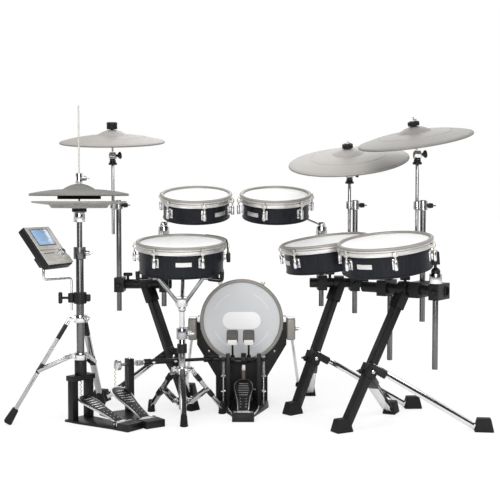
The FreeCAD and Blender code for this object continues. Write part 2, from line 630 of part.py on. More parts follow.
def kick_drum():
    where = Placement(vec(0, -s.head_drop, s.kick_centre), Rotation(Vector(1, 0, 0), 90))
    drum("kick", s.large_shell_d, s.kick_depth, 30, where)
    half_top = s.large_shell_d / 2 + s.stand_margin
    half_foot = s.stand_base_width / 2
    corners = [(-half_foot, s.plate_thick), (half_foot, s.plate_thick), (half_foot, s.stand_foot_top),
               (half_top, s.stand_waist), (half_top, s.stand_top), (-half_top, s.stand_top),
               (-half_top, s.stand_waist), (-half_foot, s.stand_foot_top)]
    hollow = cylinder("kick_cradle_room", s.large_shell_d + s.fit * 2, s.kick_depth * 2,
                      vec(0, -s.kick_depth / 2, s.kick_centre), Vector(0, 1, 0))
    rod_circle = s.large_shell_d / 2 + s.hoop_reach + s.hoop_step * 3
    rod_rooms = [cylinder("kick_rod_room", s.rod_d + s.free_gap * 2, s.kick_depth,
                          where.multVec(around(rod_circle, angle, 0)), Vector(0, 1, 0))
                 for angle in (-90, -30, 30, 90)]
    plates = []
    for name, front in (("front", s.stand_front), ("rear", s.stand_rear)):
        plate = padded(f"kick_{name}_plate_blank", "XZ_Plane", corners, s.stand_plate,
                       Placement(vec(0, front + s.stand_plate, 0), Rotation()))
        plates.append(cut(f"kick_{name}_plate", plate, hollow, *rod_rooms))
    depth = s.stand_sole_rear - s.stand_sole_front
    sole = box("kick_sole_plate", s.stand_base_width, depth, s.plate_thick,
               vec(0, (s.stand_sole_rear + s.stand_sole_front) / 2, s.plate_thick / 2))
    node("kick_stand", [*plates, sole])
    spurs = []
    for name, sign in (("left", -1), ("right", 1)):
        across = half_top + s.fit + s.spur_box_width / 2
        centre = vec(across * sign, s.stand_front + s.spur_box_depth / 2,
                     s.stand_top - s.spur_box_height / 2)
        foot = vec(s.spur_foot_x * sign, s.spur_foot_y, s.spur_tip_height / 2)
        room = rod(name + "_spur_room", centre, foot + (foot - centre) * 0.002, s.spur_d + s.fit * 2)
        block = box(name + "_spur_block", s.spur_box_width, s.spur_box_depth, s.spur_box_height, centre)
        tip = cylinder(name + "_spur_tip_blank", s.spur_tip_d, s.spur_tip_height,
                       vec(s.spur_foot_x * sign, s.spur_foot_y, 0))
        spurs.append(cut(name + "_spur_box", block, room))
        spurs.append(cut(name + "_spur_tip", tip, room))
        spurs.append(rod(name + "_spur_rod", centre, foot, s.spur_d))
        spurs.append(knob(name + "_spur_knob", centre + vec(s.spur_box_width * sign / 2, 0, 0),
                          Vector(sign, 0, 0)))
    node("kick_spurs", spurs)


# Pedals. The local origin is on the floor below the heel hinge, and Y runs towards the toe.

def pedal_base(name, heel_w, toe_w, toe_end, toe_length):
    """Sole plate with a heel block and the two ears of the hinge."""
    heel = -s.heel_length - s.hinge_barrel_d
    half_heel = heel_w / 2
    half_toe = toe_w / 2
    plate = padded(name + "_sole", "XY_Plane", [
        (-half_heel, heel), (half_heel, heel), (half_heel, s.hinge_barrel_d),
        (half_toe, toe_end - toe_length), (half_toe, toe_end), (-half_toe, toe_end),
        (-half_toe, toe_end - toe_length), (-half_heel, s.hinge_barrel_d)], s.plate_thick)
    block = box(name + "_heel_plate", heel_w, s.heel_length, s.heel_height - s.plate_thick,
                vec(0, heel + s.heel_length / 2, (s.heel_height + s.plate_thick) / 2))
    pieces = [plate, block]
    reach = s.board_heel_width / 2 + s.free_gap
    ear_height = s.hinge_z - s.plate_thick + s.hinge_barrel_d / 2
    pin_end = vec(reach + s.hinge_ear, 0, s.hinge_z)
    pin_start = vec(-reach - s.hinge_ear, 0, s.hinge_z)
    room = rod(name + "_hinge_room", pin_start, pin_end, s.hinge_d + s.fit)
    for sign in (-1, 1):
        ear = box(name + "_hinge_ear", s.hinge_ear, s.hinge_barrel_d * 0.8, ear_height,
                  vec((reach + s.hinge_ear / 2) * sign, 0, s.plate_thick + ear_height / 2))
        pieces.append(cut(name + "_bored_ear", ear, room))
    pieces.append(rod(name + "_hinge_pin", pin_start, pin_end, s.hinge_d))
    return pieces


def footboard(name, length, where_pull, pull_width, pull_top):
    """Tapered board on its hinge barrel, with the strap or chain that it pulls."""
    barrel = rod(name + "_barrel_blank", vec(-s.board_heel_width / 2, 0, s.hinge_z),
                 vec(s.board_heel_width / 2, 0, s.hinge_z), s.hinge_barrel_d)
    heel = s.board_heel_width / 2
    toe = s.board_toe_width / 2
    wide = s.board_width / 2
    start = s.hinge_barrel_d * 0.3
    board = padded(name + "_board", "XY_Plane", [
        (-heel, start), (heel, start), (heel, length * 0.24), (wide, length * 0.5),
        (wide * 0.9, length * 0.74), (toe, length), (-toe, length), (-wide * 0.9, length * 0.74),
        (-wide, length * 0.5), (-heel, length * 0.24)], s.board_thick,
        Placement(vec(0, 0, s.hinge_z), Rotation(Vector(1, 0, 0), s.board_angle.value)))
    pin_room = rod(name + "_pin_room", vec(-s.board_width, 0, s.hinge_z),
                   vec(s.board_width, 0, s.hinge_z), s.hinge_d + s.running * 2)
    angle = math.radians(s.board_angle.value)
    low = number(s.hinge_z) + number(length) * math.sin(angle)
    height = number(pull_top) - low
    pull = box(name + "_pull", pull_width, s.strap_thick, height,
               Vector(0, number(where_pull) + number(s.strap_thick) / 2, low + height / 2))
    return [cut(name + "_hinged", join(name + "_joined", barrel, board), pin_room), pull]


def board_length_to(where_pull):
    """Length along the slanted board that brings its toe to the pull."""
    angle = math.radians(s.board_angle.value)
    return (where_pull - s.fit) / math.cos(angle)


def helix(name, foot, height, turns, coil_d, wire):
    """Spring as one tube on quarter-turn arcs, with straight ends one wire long."""
    mean = number(coil_d - wire) / 2
    quarters = int(number(turns)) * 4
    rise = number(height) / quarters

    def spot(step):
        angle = math.pi / 2 * step
        return foot + Vector(mean * math.cos(angle), mean * math.sin(angle), rise * step)

    def heading(step):
        angle = math.pi / 2 * step
        pitch = rise / (mean * math.pi / 2)
        return unit(Vector(-math.sin(angle), math.cos(angle), pitch))

    edges = [Part.LineSegment(spot(0) - heading(0) * number(wire), spot(0)).toShape()]
    for step in range(quarters):
        edges.append(Part.Arc(spot(step), spot(step + 0.5), spot(step + 1)).toShape())
    edges.append(Part.LineSegment(spot(quarters), spot(quarters) + heading(quarters) * number(wire)).toShape())
    path = Part.Wire(edges)
    start = spot(0) - heading(0) * number(wire)
    section = Part.Wire(Part.Circle(start, heading(0), number(wire) / 2).toShape())
    feature = doc.addObject("Part::Feature", name)
    feature.Shape = path.makePipeShell([section], True, False)
    points = [spot(k / 4) for k in range(quarters * 4 + 1)]
    gap = min((points[i] - points[j]).Length for i in range(len(points))
              for j in range(i + 12, min(i + 40, len(points)))) - number(wire)
    print(name, "least gap to itself", round(gap, 2), "mm, valid", feature.Shape.isValid())
    return feature


def kick_pedal():
    """Main pedal with two beaters on a split axle; gives back the end of the left axle."""
    toe_end = s.pedal_length - s.heel_length - s.hinge_barrel_d
    hinge_y = s.pedal_toe_y - toe_end
    where = Placement(vec(s.pedal_x, hinge_y, 0), Rotation())
    axle_y = s.axle_y - hinge_y

    def on_axle(x):
        return vec(x, axle_y, s.axle_z)

    base = pedal_base("pedal", s.heel_width, s.toe_width, toe_end, s.toe_plate_length)
    room = rod("pedal_axle_room", on_axle(-s.axle_half), on_axle(s.axle_half), s.axle_d + s.running * 2)
    for sign in (-1, 1):
        height = s.axle_z + s.post_head_height - s.plate_thick
        post = box("pedal_post_blank", s.pedal_post_width, s.pedal_post_depth, height,
                   vec(s.pedal_post_spread * sign / 2, axle_y, s.plate_thick + height / 2))
        base.append(cut("pedal_post", post, room))
    jaw_start = toe_end - s.foot_height
    jaw_end = toe_end + s.foot_height / 2
    base.append(box("pedal_clamp_jaw", s.board_width, jaw_end - jaw_start, s.heel_height - s.plate_thick,
                    vec(0, (jaw_start + jaw_end) / 2, (s.heel_height + s.plate_thick) / 2)))
    spring_y = axle_y - s.lever_reach
    spring_top = s.axle_z - s.lever_height / 2 - s.spring_wire
    springs = []
    for name, sign in (("left", -1), ("right", 1)):
        foot = vec(s.spring_x * sign, spring_y, spring_top - s.spring_length)
        springs.append(helix(f"pedal_{name}_spring", foot, s.spring_length, s.spring_turns, s.spring_d,
                             s.spring_wire))
        base.append(rod("pedal_spring_stud", vec(s.spring_x * sign, spring_y, s.plate_thick),
                        foot - vec(0, 0, s.spring_wire), s.stud_d))
    node("pedal_base", base, where)
    node("pedal_springs", springs, where)
    pull = axle_y + s.cam_d / 2 + s.fit
    node("pedal_footboard", footboard("pedal", board_length_to(pull), pull, s.strap_width, s.axle_z), where)
    tip = s.split_x - s.spigot
    spigot = rod("pedal_spigot", on_axle(tip), on_axle(s.split_x + s.spigot), s.spigot_d)
    right = rod("pedal_right_axle", on_axle(s.split_x + s.fit), on_axle(s.axle_half), s.axle_d)
    cam = rod("pedal_cam", on_axle(-s.cam_width / 2), on_axle(s.cam_width / 2), s.cam_d)
    left_blank = rod("pedal_left_axle_blank", on_axle(-s.axle_half), on_axle(s.split_x), s.axle_d)
    left = cut("pedal_left_axle", left_blank,
               rod("pedal_spigot_room", on_axle(tip - s.fit), on_axle(s.split_x + s.fit),
                   s.spigot_d + s.running * 2))
    yoke_end = -s.axle_half - s.yoke_length
    yoke = rod("pedal_yoke", on_axle(yoke_end), on_axle(-s.axle_half), s.yoke_d)
    knuckle = on_axle(yoke_end - s.yoke_neck)
    joint = ball("pedal_yoke_ball", s.yoke_ball_d, knuckle)
    for name, across, core in (("right", s.right_beater_x, [right, spigot, cam]),
                               ("left", s.left_beater_x, [left, yoke, joint])):
        sign = 1 if name == "right" else -1
        hub = rod(f"pedal_{name}_hub", on_axle(across - s.hub_width / 2), on_axle(across + s.hub_width / 2),
                  s.hub_d)
        if name == "left":
            hub = cut("pedal_left_bored_hub", hub, rod("pedal_hub_room", on_axle(tip - s.fit),
                      on_axle(s.split_x + s.fit), s.spigot_d + s.running * 2))
        lever = box(f"pedal_{name}_lever", s.lever_width, s.lever_reach + s.lever_width / 2, s.lever_height,
                    vec(s.spring_x * sign, axle_y - (s.lever_reach + s.lever_width / 2) / 2, s.axle_z))
        turning = join(f"pedal_{name}_turning", *core, hub, lever)
        node(f"pedal_beater_{name}", [turning, *beater(name, on_axle(across))], where)
    return where.multVec(knuckle)


def beater(name, centre):
    """Rod and two-part head that lean back towards the player."""
    lean = math.radians(s.beater_lean.value)
    up = Vector(0, -math.sin(lean), math.cos(lean))
    half = number(s.beater_height) / 2
    reach = number(s.beater_reach)
    start = centre + up * number(s.hub_d / 2 + s.fit)
    stem = rod(f"{name}_beater_rod", start, centre + up * (reach - half * 0.2), s.beater_rod_d)
    room = rod(f"{name}_beater_room", start, centre + up * (reach - half * 0.2 + number(s.fit)),
               s.beater_rod_d + s.fit * 2)
    core = rod(f"{name}_beater_core_blank", centre + up * (reach - half), centre + up * reach, s.beater_d)
    felt = rod(f"{name}_beater_felt", centre + up * reach, centre + up * (reach + half), s.beater_d)
    return [stem, cut(f"{name}_beater_core", core, room), felt]


def slave_pedal():
    """Second pedal, whose axle turns the shaft to the left beater; gives back its knuckle."""
    turn = upright(s.slave_yaw)
    heading = turn.multVec(Vector(0, 1, 0))
    where = Placement(vec(s.slave_x, s.slave_y, 0) + heading * number(s.heel_length + s.hinge_barrel_d), turn)
    toe_end = s.pedal_length - s.heel_length - s.hinge_barrel_d
    axle_y = s.axle_y - s.pedal_toe_y + toe_end
    sole_end = axle_y + s.slave_toe_length / 2

    def on_axle(x):
        return vec(x, axle_y, s.axle_z)

    base = pedal_base("slave", s.slave_heel_width, s.slave_toe_width, sole_end, s.slave_toe_length)
    room = rod("slave_axle_room", on_axle(0), on_axle(s.slave_axle), s.axle_d + s.running * 2)
    height = s.axle_z + s.post_head_height - s.plate_thick
    post = box("slave_post_blank", s.slave_post_width, s.pedal_post_depth, height,
               vec(s.slave_post_x, axle_y, s.plate_thick + height / 2))
    base.append(cut("slave_post", post, room))
    node("slave_base", base, where)
    pull = axle_y + s.slave_cam_d / 2 + s.fit
    node("slave_footboard", footboard("slave", board_length_to(pull), pull, s.chain_width, s.axle_z), where)
    cam = rod("slave_cam", on_axle(-s.slave_cam_width / 2), on_axle(s.slave_cam_width / 2), s.slave_cam_d)
    axle = rod("slave_axle_rod", on_axle(0), on_axle(s.slave_axle), s.axle_d)
    yoke = rod("slave_yoke", on_axle(s.slave_axle), on_axle(s.slave_axle + s.yoke_length), s.yoke_d)
    knuckle = on_axle(s.slave_axle + s.yoke_length + s.yoke_neck)
    joint = ball("slave_yoke_ball", s.yoke_ball_d, knuckle)
    node("slave_drive", [join("slave_turning", cam, axle, yoke, joint)], where)
    return where.multVec(knuckle)


def linkage(start, end):
    """Telescopic shaft between the two knuckles."""
    run = unit(end - start)
    sleeve_end = start + (end - start) * 0.55
    rooms = [ball("linkage_socket", s.yoke_ball_d + s.free_gap, point) for point in (start, end)]
    shaft = rod("linkage_shaft_blank", start, end, s.linkage_d)
    yokes = [rod("linkage_yoke", start, start + run * number(s.yoke_length), s.yoke_d),
             rod("linkage_yoke", end - run * number(s.yoke_length), end, s.yoke_d)]
    inner = cut("linkage_shaft", join("linkage_shaft_yokes", shaft, *yokes), *rooms)
    sleeve = tube("linkage_sleeve", start + run * number(s.yoke_length + s.fit), sleeve_end,
                  s.linkage_sleeve_d, (s.linkage_sleeve_d - s.linkage_d) / 2 - s.fit)
    node("pedal_linkage", [inner, sleeve])


# Folding tripods. A hub slides on the tube and carries the legs; braces run from a fixed collar.

class Tripod:
    def __init__(self, name, axis, tube_d, hub_z, collar_z, reach, thick, width, share, bearings):
        self.name = name
        self.axis = axis
        self.hub_d = tube_d + s.hub_wall * 2
        self.pivot_r = self.hub_d / 2 + s.pivot_out
        self.width = width
        self.static = []
        tube_room = cylinder(name + "_hub_room", tube_d + s.running * 2, hub_z * 2, axis)
        hub = [self.ring(name + "_hub_ring", hub_z)]
        collar = [self.ring(name + "_collar_ring", collar_z)]
        pins = []
        for index, bearing in enumerate(bearings, 1):
            angle = math.radians(bearing.value)
            out = Vector(math.cos(angle), math.sin(angle), 0)
            side = Vector(-out.y, out.x, 0)
            top = axis + out * number(self.pivot_r) + vec(0, 0, hub_z)
            low = axis + out * number(self.pivot_r) + vec(0, 0, collar_z)
            foot = axis + out * number(reach) + vec(0, 0, s.rubber_foot_height * 0.6)
            knee = top + (foot - top) * share.value
            self.leg(f"{name}_leg_{index}", top, foot, knee, side, thick, width)
            self.brace(f"{name}_brace_{index}", low, knee, side, width)
            for sign in (-1, 1):
                shift = side * (sign * number(width / 2 + s.free_gap + s.pivot_ear / 2))
                hub.append(self.ear(name + "_hub_ear", top + shift, out, s.pivot_ear))
            collar.append(self.ear(name + "_collar_ear", low, out, width))
            half = number(width / 2 + s.free_gap + s.pivot_ear)
            pins.append((rod(name + "_hub_pin", top - side * half, top + side * half, s.pivot_d),
                         rod(name + "_hub_pin_room", top - side * half, top + side * half,
                             s.pivot_d + s.fit)))
            half = number(width / 2 + s.free_gap + s.brace_thick)
            self.static.append(rod(name + "_collar_pin", low - side * half, low + side * half, s.pivot_d))
            collar_room = rod(name + "_collar_pin_room", low - side * half, low + side * half,
                              s.pivot_d + s.fit)
            pins.append((None, collar_room))
        hub_rooms = [room for pin, room in pins if pin is not None]
        collar_rooms = [room for pin, room in pins if pin is None]
        hub_body = cut(name + "_hub_body", join(name + "_hub_eared", *hub), tube_room, *hub_rooms)
        node(name + "_leg_hub", [hub_body, *[pin for pin, room in pins if pin is not None]])
        collar_tube = cylinder(name + "_collar_room", tube_d + s.fit * 2, hub_z * 2, axis)
        self.static.append(cut(name + "_collar", join(name + "_collar_eared", *collar), collar_tube,
                               *collar_rooms))

    def ring(self, name, height):
        return cylinder(name, self.hub_d, s.hub_height, self.axis + vec(0, 0, height - s.hub_height / 2))

    def ear(self, name, at, out, width):
        reach = s.pivot_out + s.hub_wall + s.pivot_d
        centre = at - out * (number(reach) / 2 - number(s.pivot_d))
        return box(name, reach, width, s.hub_height * 0.7, centre, facing(Vector(0, 0, 1), out))

    def leg(self, name, top, foot, knee, side, thick, width):
        run = unit(foot - top)
        start = top - run * number(s.pivot_d * 1.4)
        strap = bar(name + "_strap", start, foot, width, thick, side)
        half = number(width) / 2
        hole = rod(name + "_hole", top - side * half * 2, top + side * half * 2, s.pivot_d + s.running * 2)
        knee_hole = rod(name + "_knee_hole", knee - side * half, knee + side * half, s.pivot_d + s.fit * 2)
        knee_pin = rod(name + "_knee_pin", knee - side * half, knee + side * half, s.pivot_d)
        room = bar(name + "_foot_room", start, foot + run * number(s.fit), width + s.fit * 2,
                   thick + s.fit * 2, side)
        ground = Vector(foot.x, foot.y, 0)
        rubber = cylinder(name + "_rubber_blank", s.rubber_foot_d, s.rubber_foot_height, ground)
        node(name, [cut(name + "_drilled", strap, hole, knee_hole), knee_pin,
                    cut(name + "_rubber", rubber, room)])

    def brace(self, name, low, knee, side, width):
        run = unit(knee - low)
        plates = []
        for sign in (-1, 1):
            shift = side * (sign * number(width / 2 + s.free_gap + s.brace_thick / 2))
            plate = bar(name + "_strap", low - run * number(s.pivot_d) + shift,
                        knee + run * number(s.pivot_d) + shift, s.brace_thick, s.brace_width, side)
            hole = rod(name + "_hole", low + shift - side * number(s.brace_thick),
                       low + shift + side * number(s.brace_thick), s.pivot_d + s.running * 2)
            plates.append(cut(name + "_plate", plate, hole))
        node(name, plates)


def hi_hat():
    """Hi-hat stand with its pedal, pull rod and two cymbal pads."""
    axis = vec(s.hihat_x, s.hihat_y, 0)
    turn = upright(s.hihat_yaw)
    reach = s.hihat_reach
    where = Placement(axis - turn.multVec(vec(0, reach, 0)), turn)
    rod_room = rod("hihat_rod_room", axis, axis + vec(0, 0, s.hihat_rod_top),
                   s.hihat_rod_d + s.rod_room * 2)
    local_room = cylinder("hihat_frame_room", s.hihat_rod_d + s.rod_room * 2, s.hihat_rod_top, vec(0, reach, 0))
    base = pedal_base("hihat", s.hihat_plate_heel, s.hihat_plate_toe, reach + s.hihat_toe,
                      s.hihat_toe_length)
    height = s.frame_top - s.frame_beam - s.plate_thick
    for sign in (-1, 1):
        base.append(box("hihat_frame_post", s.frame_post_width, s.frame_post_depth, height,
                        vec(s.frame_spread * sign / 2, reach, s.plate_thick + height / 2)))
    beam = box("hihat_beam_blank", s.frame_spread + s.frame_post_width, s.neck_d, s.frame_beam,
               vec(0, reach, s.frame_top - s.frame_beam / 2))
    base.append(cut("hihat_beam", beam, local_room))
    neck = cylinder("hihat_neck_blank", s.neck_d, s.neck_height, vec(0, reach, s.frame_top))
    base.append(cut("hihat_neck", neck, cylinder("hihat_neck_room", s.hihat_lower_d + s.fit * 2,
                                                 s.neck_height, vec(0, reach, s.frame_top))))
    node("hihat_base", base, where)
    pull = reach - s.strap_thick / 2
    node("hihat_footboard", footboard("hihat", board_length_to(pull), pull, s.chain_width, s.chain_top), where)
    tripod = Tripod("hihat", axis, s.hihat_lower_d, s.hihat_hub_z, s.hihat_collar_z, s.hihat_leg_reach,
                    s.hihat_leg_thick, s.hihat_leg_width, s.hihat_brace_share,
                    [s.hihat_left_leg, s.hihat_right_leg])
    lower = tube("hihat_lower_tube", axis + vec(0, 0, s.frame_top + s.fit), axis + vec(0, 0, s.hihat_lower_top),
                 s.hihat_lower_d, (s.hihat_lower_d - s.hihat_upper_d) / 2 - s.fit)
    upper_low = axis + vec(0, 0, s.hihat_lower_top - s.upper_overlap)
    upper = tube("hihat_upper_tube", upper_low, axis + vec(0, 0, s.hihat_upper_top), s.hihat_upper_d, s.tube_wall)
    upper_room = rod("hihat_upper_room", upper_low, axis + vec(0, 0, s.hihat_upper_top),
                     s.hihat_upper_d + s.fit * 2)
    ring_d = s.hihat_lower_d + s.ring_wall * 2
    ring = cylinder("hihat_ring_blank", ring_d, s.ring_height, axis + vec(0, 0, s.hihat_lower_top))
    wing = knob("hihat_ring_knob", axis + vec(ring_d / 2, 0, s.hihat_lower_top + s.ring_height / 2),
                Vector(1, 0, 0))
    cup = cylinder("hihat_cup_blank", s.cup_d, s.cup_height, axis + vec(0, 0, s.hihat_upper_top))
    seat_z = s.hihat_upper_top + s.cup_height
    seat = cylinder("hihat_seat_blank", s.seat_d, s.seat_height, axis + vec(0, 0, seat_z))
    clamp, clamp_knob, rod_place = module_clamp(axis)
    tubes = [lower, upper, cut("hihat_ring", ring, upper_room), wing, cut("hihat_cup", cup, rod_room),
             cut("hihat_seat", seat, rod_room), clamp, clamp_knob, *tripod.static]
    hi_hat_pads(axis, rod_room, seat_z + s.seat_height + s.fit)
    return tubes, rod_place


def hi_hat_pads(axis, rod_room, low):
    hole = s.cymbal_hole_d / 2
    flat = s.hihat_hub_d / 2
    wide = s.hihat_bottom_d / 2
    dish = turned("hihat_dish", [
        (hole, low), (flat, low), (wide, low + s.hihat_bottom_rise),
        (wide, low + s.hihat_bottom_rise + s.cymbal_thick), (flat, low + s.cymbal_thick),
        (hole, low + s.cymbal_thick)], Placement(axis, Rotation()))
    sensor = cylinder("hihat_sensor_blank", s.sensor_d, s.sensor_height,
                      axis + vec(0, 0, low + s.cymbal_thick + s.fit))
    node("hihat_bottom_cymbal", [dish, cut("hihat_sensor", sensor, rod_room)])
    under = s.hihat_top_rim + s.hihat_top_bow + s.bell_height
    node("hihat_top_cymbal", [cymbal_body("hihat_top_plate", s.hihat_top_d, s.hihat_top_bow, s.bell_d,
                                          s.bell_height)], Placement(axis + vec(0, 0, under), Rotation()))
    above = under + s.cymbal_thick + s.fit
    clutch = join("hihat_clutch_body",
                  cylinder("hihat_clutch_barrel", s.clutch_d, s.clutch_height, axis + vec(0, 0, above)),
                  cylinder("hihat_clutch_sleeve", s.cymbal_hole_d - s.fit * 2, s.clutch_nut * 2,
                           axis + vec(0, 0, under - s.clutch_nut)),
                  cylinder("hihat_clutch_nut", s.clutch_d, s.clutch_nut,
                           axis + vec(0, 0, under - s.sway_gap - s.clutch_nut)))
    start = axis + vec(0, 0, s.chain_top + s.fit)
    end = axis + vec(0, 0, s.hihat_rod_top)
    snug = rod("hihat_clutch_room", start, end, s.hihat_rod_d + s.fit * 2)
    wing = knob("hihat_clutch_wing", axis + vec(s.clutch_d / 2 - s.fit, 0, above + s.clutch_height / 2),
                Vector(1, 0, 0))
    node("hihat_pull_rod", [rod("hihat_rod", start, end, s.hihat_rod_d),
                            cut("hihat_clutch", join("hihat_clutch_winged", clutch, wing), snug)])


# Sound module on a bent rod beside the hi-hat stand.

def module_clamp(axis):
    place = axis + vec(s.module_rod_x, 0, 0)
    low = place + vec(0, 0, s.module_rod_low)
    block_length = s.hihat_lower_d + s.clamp_wall * 2 - s.module_rod_x
    block_depth = s.hihat_lower_d + s.clamp_wall * 2
    centre = axis + vec(s.module_rod_x / 2, 0, s.module_clamp_z)
    block = box("module_clamp_block", block_length, block_depth, s.clamp_height * 0.8, centre)
    tube_room = cylinder("module_tube_room", s.hihat_lower_d + s.fit * 2, s.hihat_lower_top, axis)
    rod_room = cylinder("module_rod_room", s.module_rod_d + s.running * 2, s.module_arm_z, place)
    face = centre - vec(block_length / 2, 0, 0)
    return cut("module_clamp", block, tube_room, rod_room), knob("module_knob_T", face, Vector(-1, 0, 0)), low


def sound_module(rod_low):
    turn = upright(s.module_yaw) * Rotation(Vector(1, 0, 0), s.module_slope.value)
    where = Placement(vec(s.module_x, s.module_y, s.module_z), turn)
    inner_w = s.module_width - s.module_wall * 2
    inner_l = s.module_length - s.module_wall * 2
    shell = box("module_outside", s.module_width, s.module_length, s.module_depth, vec(0, 0, -s.module_depth / 2))
    inside = box("module_inside", inner_w, inner_l, s.module_depth, vec(0, 0, s.module_wall - s.module_depth / 2))
    circuit = box("module_circuit", inner_w - s.board_inset, inner_l - s.board_inset, s.board_sheet,
                  vec(0, 0, s.module_wall - s.module_depth + s.board_sheet / 2))
    block_at = vec(0, -s.module_block_drop, -s.module_depth - s.module_block / 2)
    top = where.multVec(block_at)
    block = box("module_block_blank", s.module_block, s.module_block, s.module_block, block_at)
    down = turn.inverted().multVec(Vector(0, 0, -1))
    drilled = cut("module_rear_block", block,
                  rod("module_block_room", block_at - down * number(s.fit), block_at + down * number(s.module_block * 2),
                      s.module_rod_d + s.fit * 2))
    node("module_case", [cut("module_shell", shell, inside), circuit, drilled], where)
    spindle = s.spigot_d + s.running * 2
    knob_at = vec(s.module_knob_x, s.module_knob_y, 0)
    panel = box("module_panel_blank", inner_w - s.fit * 2, inner_l - s.fit * 2, s.panel_thick,
                vec(0, 0, -s.panel_thick / 2))
    hole = cylinder("module_spindle_room", spindle, s.module_depth * 2, knob_at - vec(0, 0, s.module_depth))
    node("module_panel", [cut("module_panel_plate", panel, hole)], where)
    dial = cylinder("module_dial", s.module_knob_d, s.module_knob_height, knob_at + vec(0, 0, s.fit))
    stem = cylinder("module_spindle", s.spigot_d, s.board_inset, knob_at - vec(0, 0, s.board_inset - s.fit))
    node("module_knob", [join("module_knob_body", dial, stem)], where)
    bend_high = Vector(top.x, top.y, number(s.module_arm_z))
    bend_side = Vector(rod_low.x, rod_low.y, number(s.module_arm_z))
    node("module_rod", [pipe("module_bent_rod", [top, bend_high, bend_side, rod_low], s.module_rod_d,
                             s.module_arm_bend)])


# Snare drum in its basket, on a sliding inner tube in a folding tripod.

def snare_unit():
    where = Placement(vec(s.snare_x, s.snare_y, s.snare_top), leaning(s.snare_tilt))
    drum("snare", s.large_shell_d, s.snare_height, 30, where)
    up = where.Rotation.multVec(Vector(0, 0, 1))
    low = -s.snare_height - s.basket_drop
    ball_at = where.multVec(vec(0, 0, low - s.basket_nut_height - s.basket_ball_d * 0.3))
    axis = Vector(ball_at.x, ball_at.y, 0)
    nut = cylinder("basket_nut_blank", s.basket_nut_d, s.basket_nut_height,
                   where.multVec(vec(0, 0, low - s.basket_nut_height)), up)
    pieces = []
    nut_rooms = [ball("basket_ball_room", s.basket_ball_d + s.fit * 2, ball_at)]
    foot = axis + vec(0, 0, s.snare_collar_z + s.hub_height * 2)
    stem = rod("snare_inner_tube", foot, ball_at, s.snare_inner_d)
    pieces.append(join("snare_inner", stem, ball("basket_ball", s.basket_ball_d, ball_at)))
    arm_z = -s.snare_height - s.fit * 2 - s.basket_pad - s.basket_arm_d / 2
    edge = s.large_shell_d / 2
    for angle in (-60, 60, 180):
        path = [where.multVec(point) for point in (
            around(s.basket_nut_d / 2 - s.basket_arm_d / 2, angle, low - s.basket_nut_height / 2),
            around(edge * 0.62, angle, arm_z), around(edge + s.basket_reach, angle, arm_z),
            around(edge + s.basket_reach, angle, arm_z + s.basket_claw))]
        pieces.append(pipe("basket_arm", path, s.basket_arm_d, s.basket_arm_bend))
        nut_rooms.append(rod("basket_arm_room", path[0] - unit(path[1] - path[0]) * number(s.fit), path[1],
                             s.basket_arm_d + s.fit * 2))
        pad_at = around(edge - s.basket_pad, angle, -s.snare_height - s.fit - s.basket_pad / 2)
        pieces.append(box("basket_pad_block", s.basket_reach, s.basket_reach, s.basket_pad,
                          where.multVec(pad_at), where.Rotation * upright(angle)))
    node("snare_basket", [cut("basket_nut", nut, *nut_rooms), *pieces])
    tripod = Tripod("snare", axis, s.snare_tube_d, s.snare_hub_z, s.snare_collar_z, s.snare_leg_reach,
                    s.snare_leg_thick, s.snare_leg_width, s.snare_brace_share,
                    [s.snare_leg_front, s.snare_leg_right, s.snare_leg_left])
    outer = tube("snare_outer_tube", axis + vec(0, 0, s.snare_tube_foot), axis + vec(0, 0, s.snare_tube_top),
                 s.snare_tube_d, (s.snare_tube_d - s.snare_inner_d) / 2 - s.running)
    ring_d = s.snare_tube_d + s.ring_wall * 2
    ring = cylinder("snare_ring_blank", ring_d, s.snare_clamp_height, axis + vec(0, 0, s.snare_tube_top))
    room = rod("snare_inner_room", foot, ball_at, s.snare_inner_d + s.running * 2)
    wing = knob("snare_ring_knob", axis + vec(ring_d / 2, 0, s.snare_tube_top + s.snare_clamp_height / 2),
                Vector(1, 0, 0))
    return [outer, cut("snare_ring", ring, room), wing, *tripod.static]


# Assembly.

kick_drum()
linkage(slave_pedal(), kick_pedal())
hi_hat_tubes, module_rod_low = hi_hat()
sound_module(module_rod_low)
node("stand_tubes", [*hi_hat_tubes, *snare_unit()])

left_rack, middle_rack, right_rack = Rack("left"), Rack("middle"), Rack("right")
pivots = {}


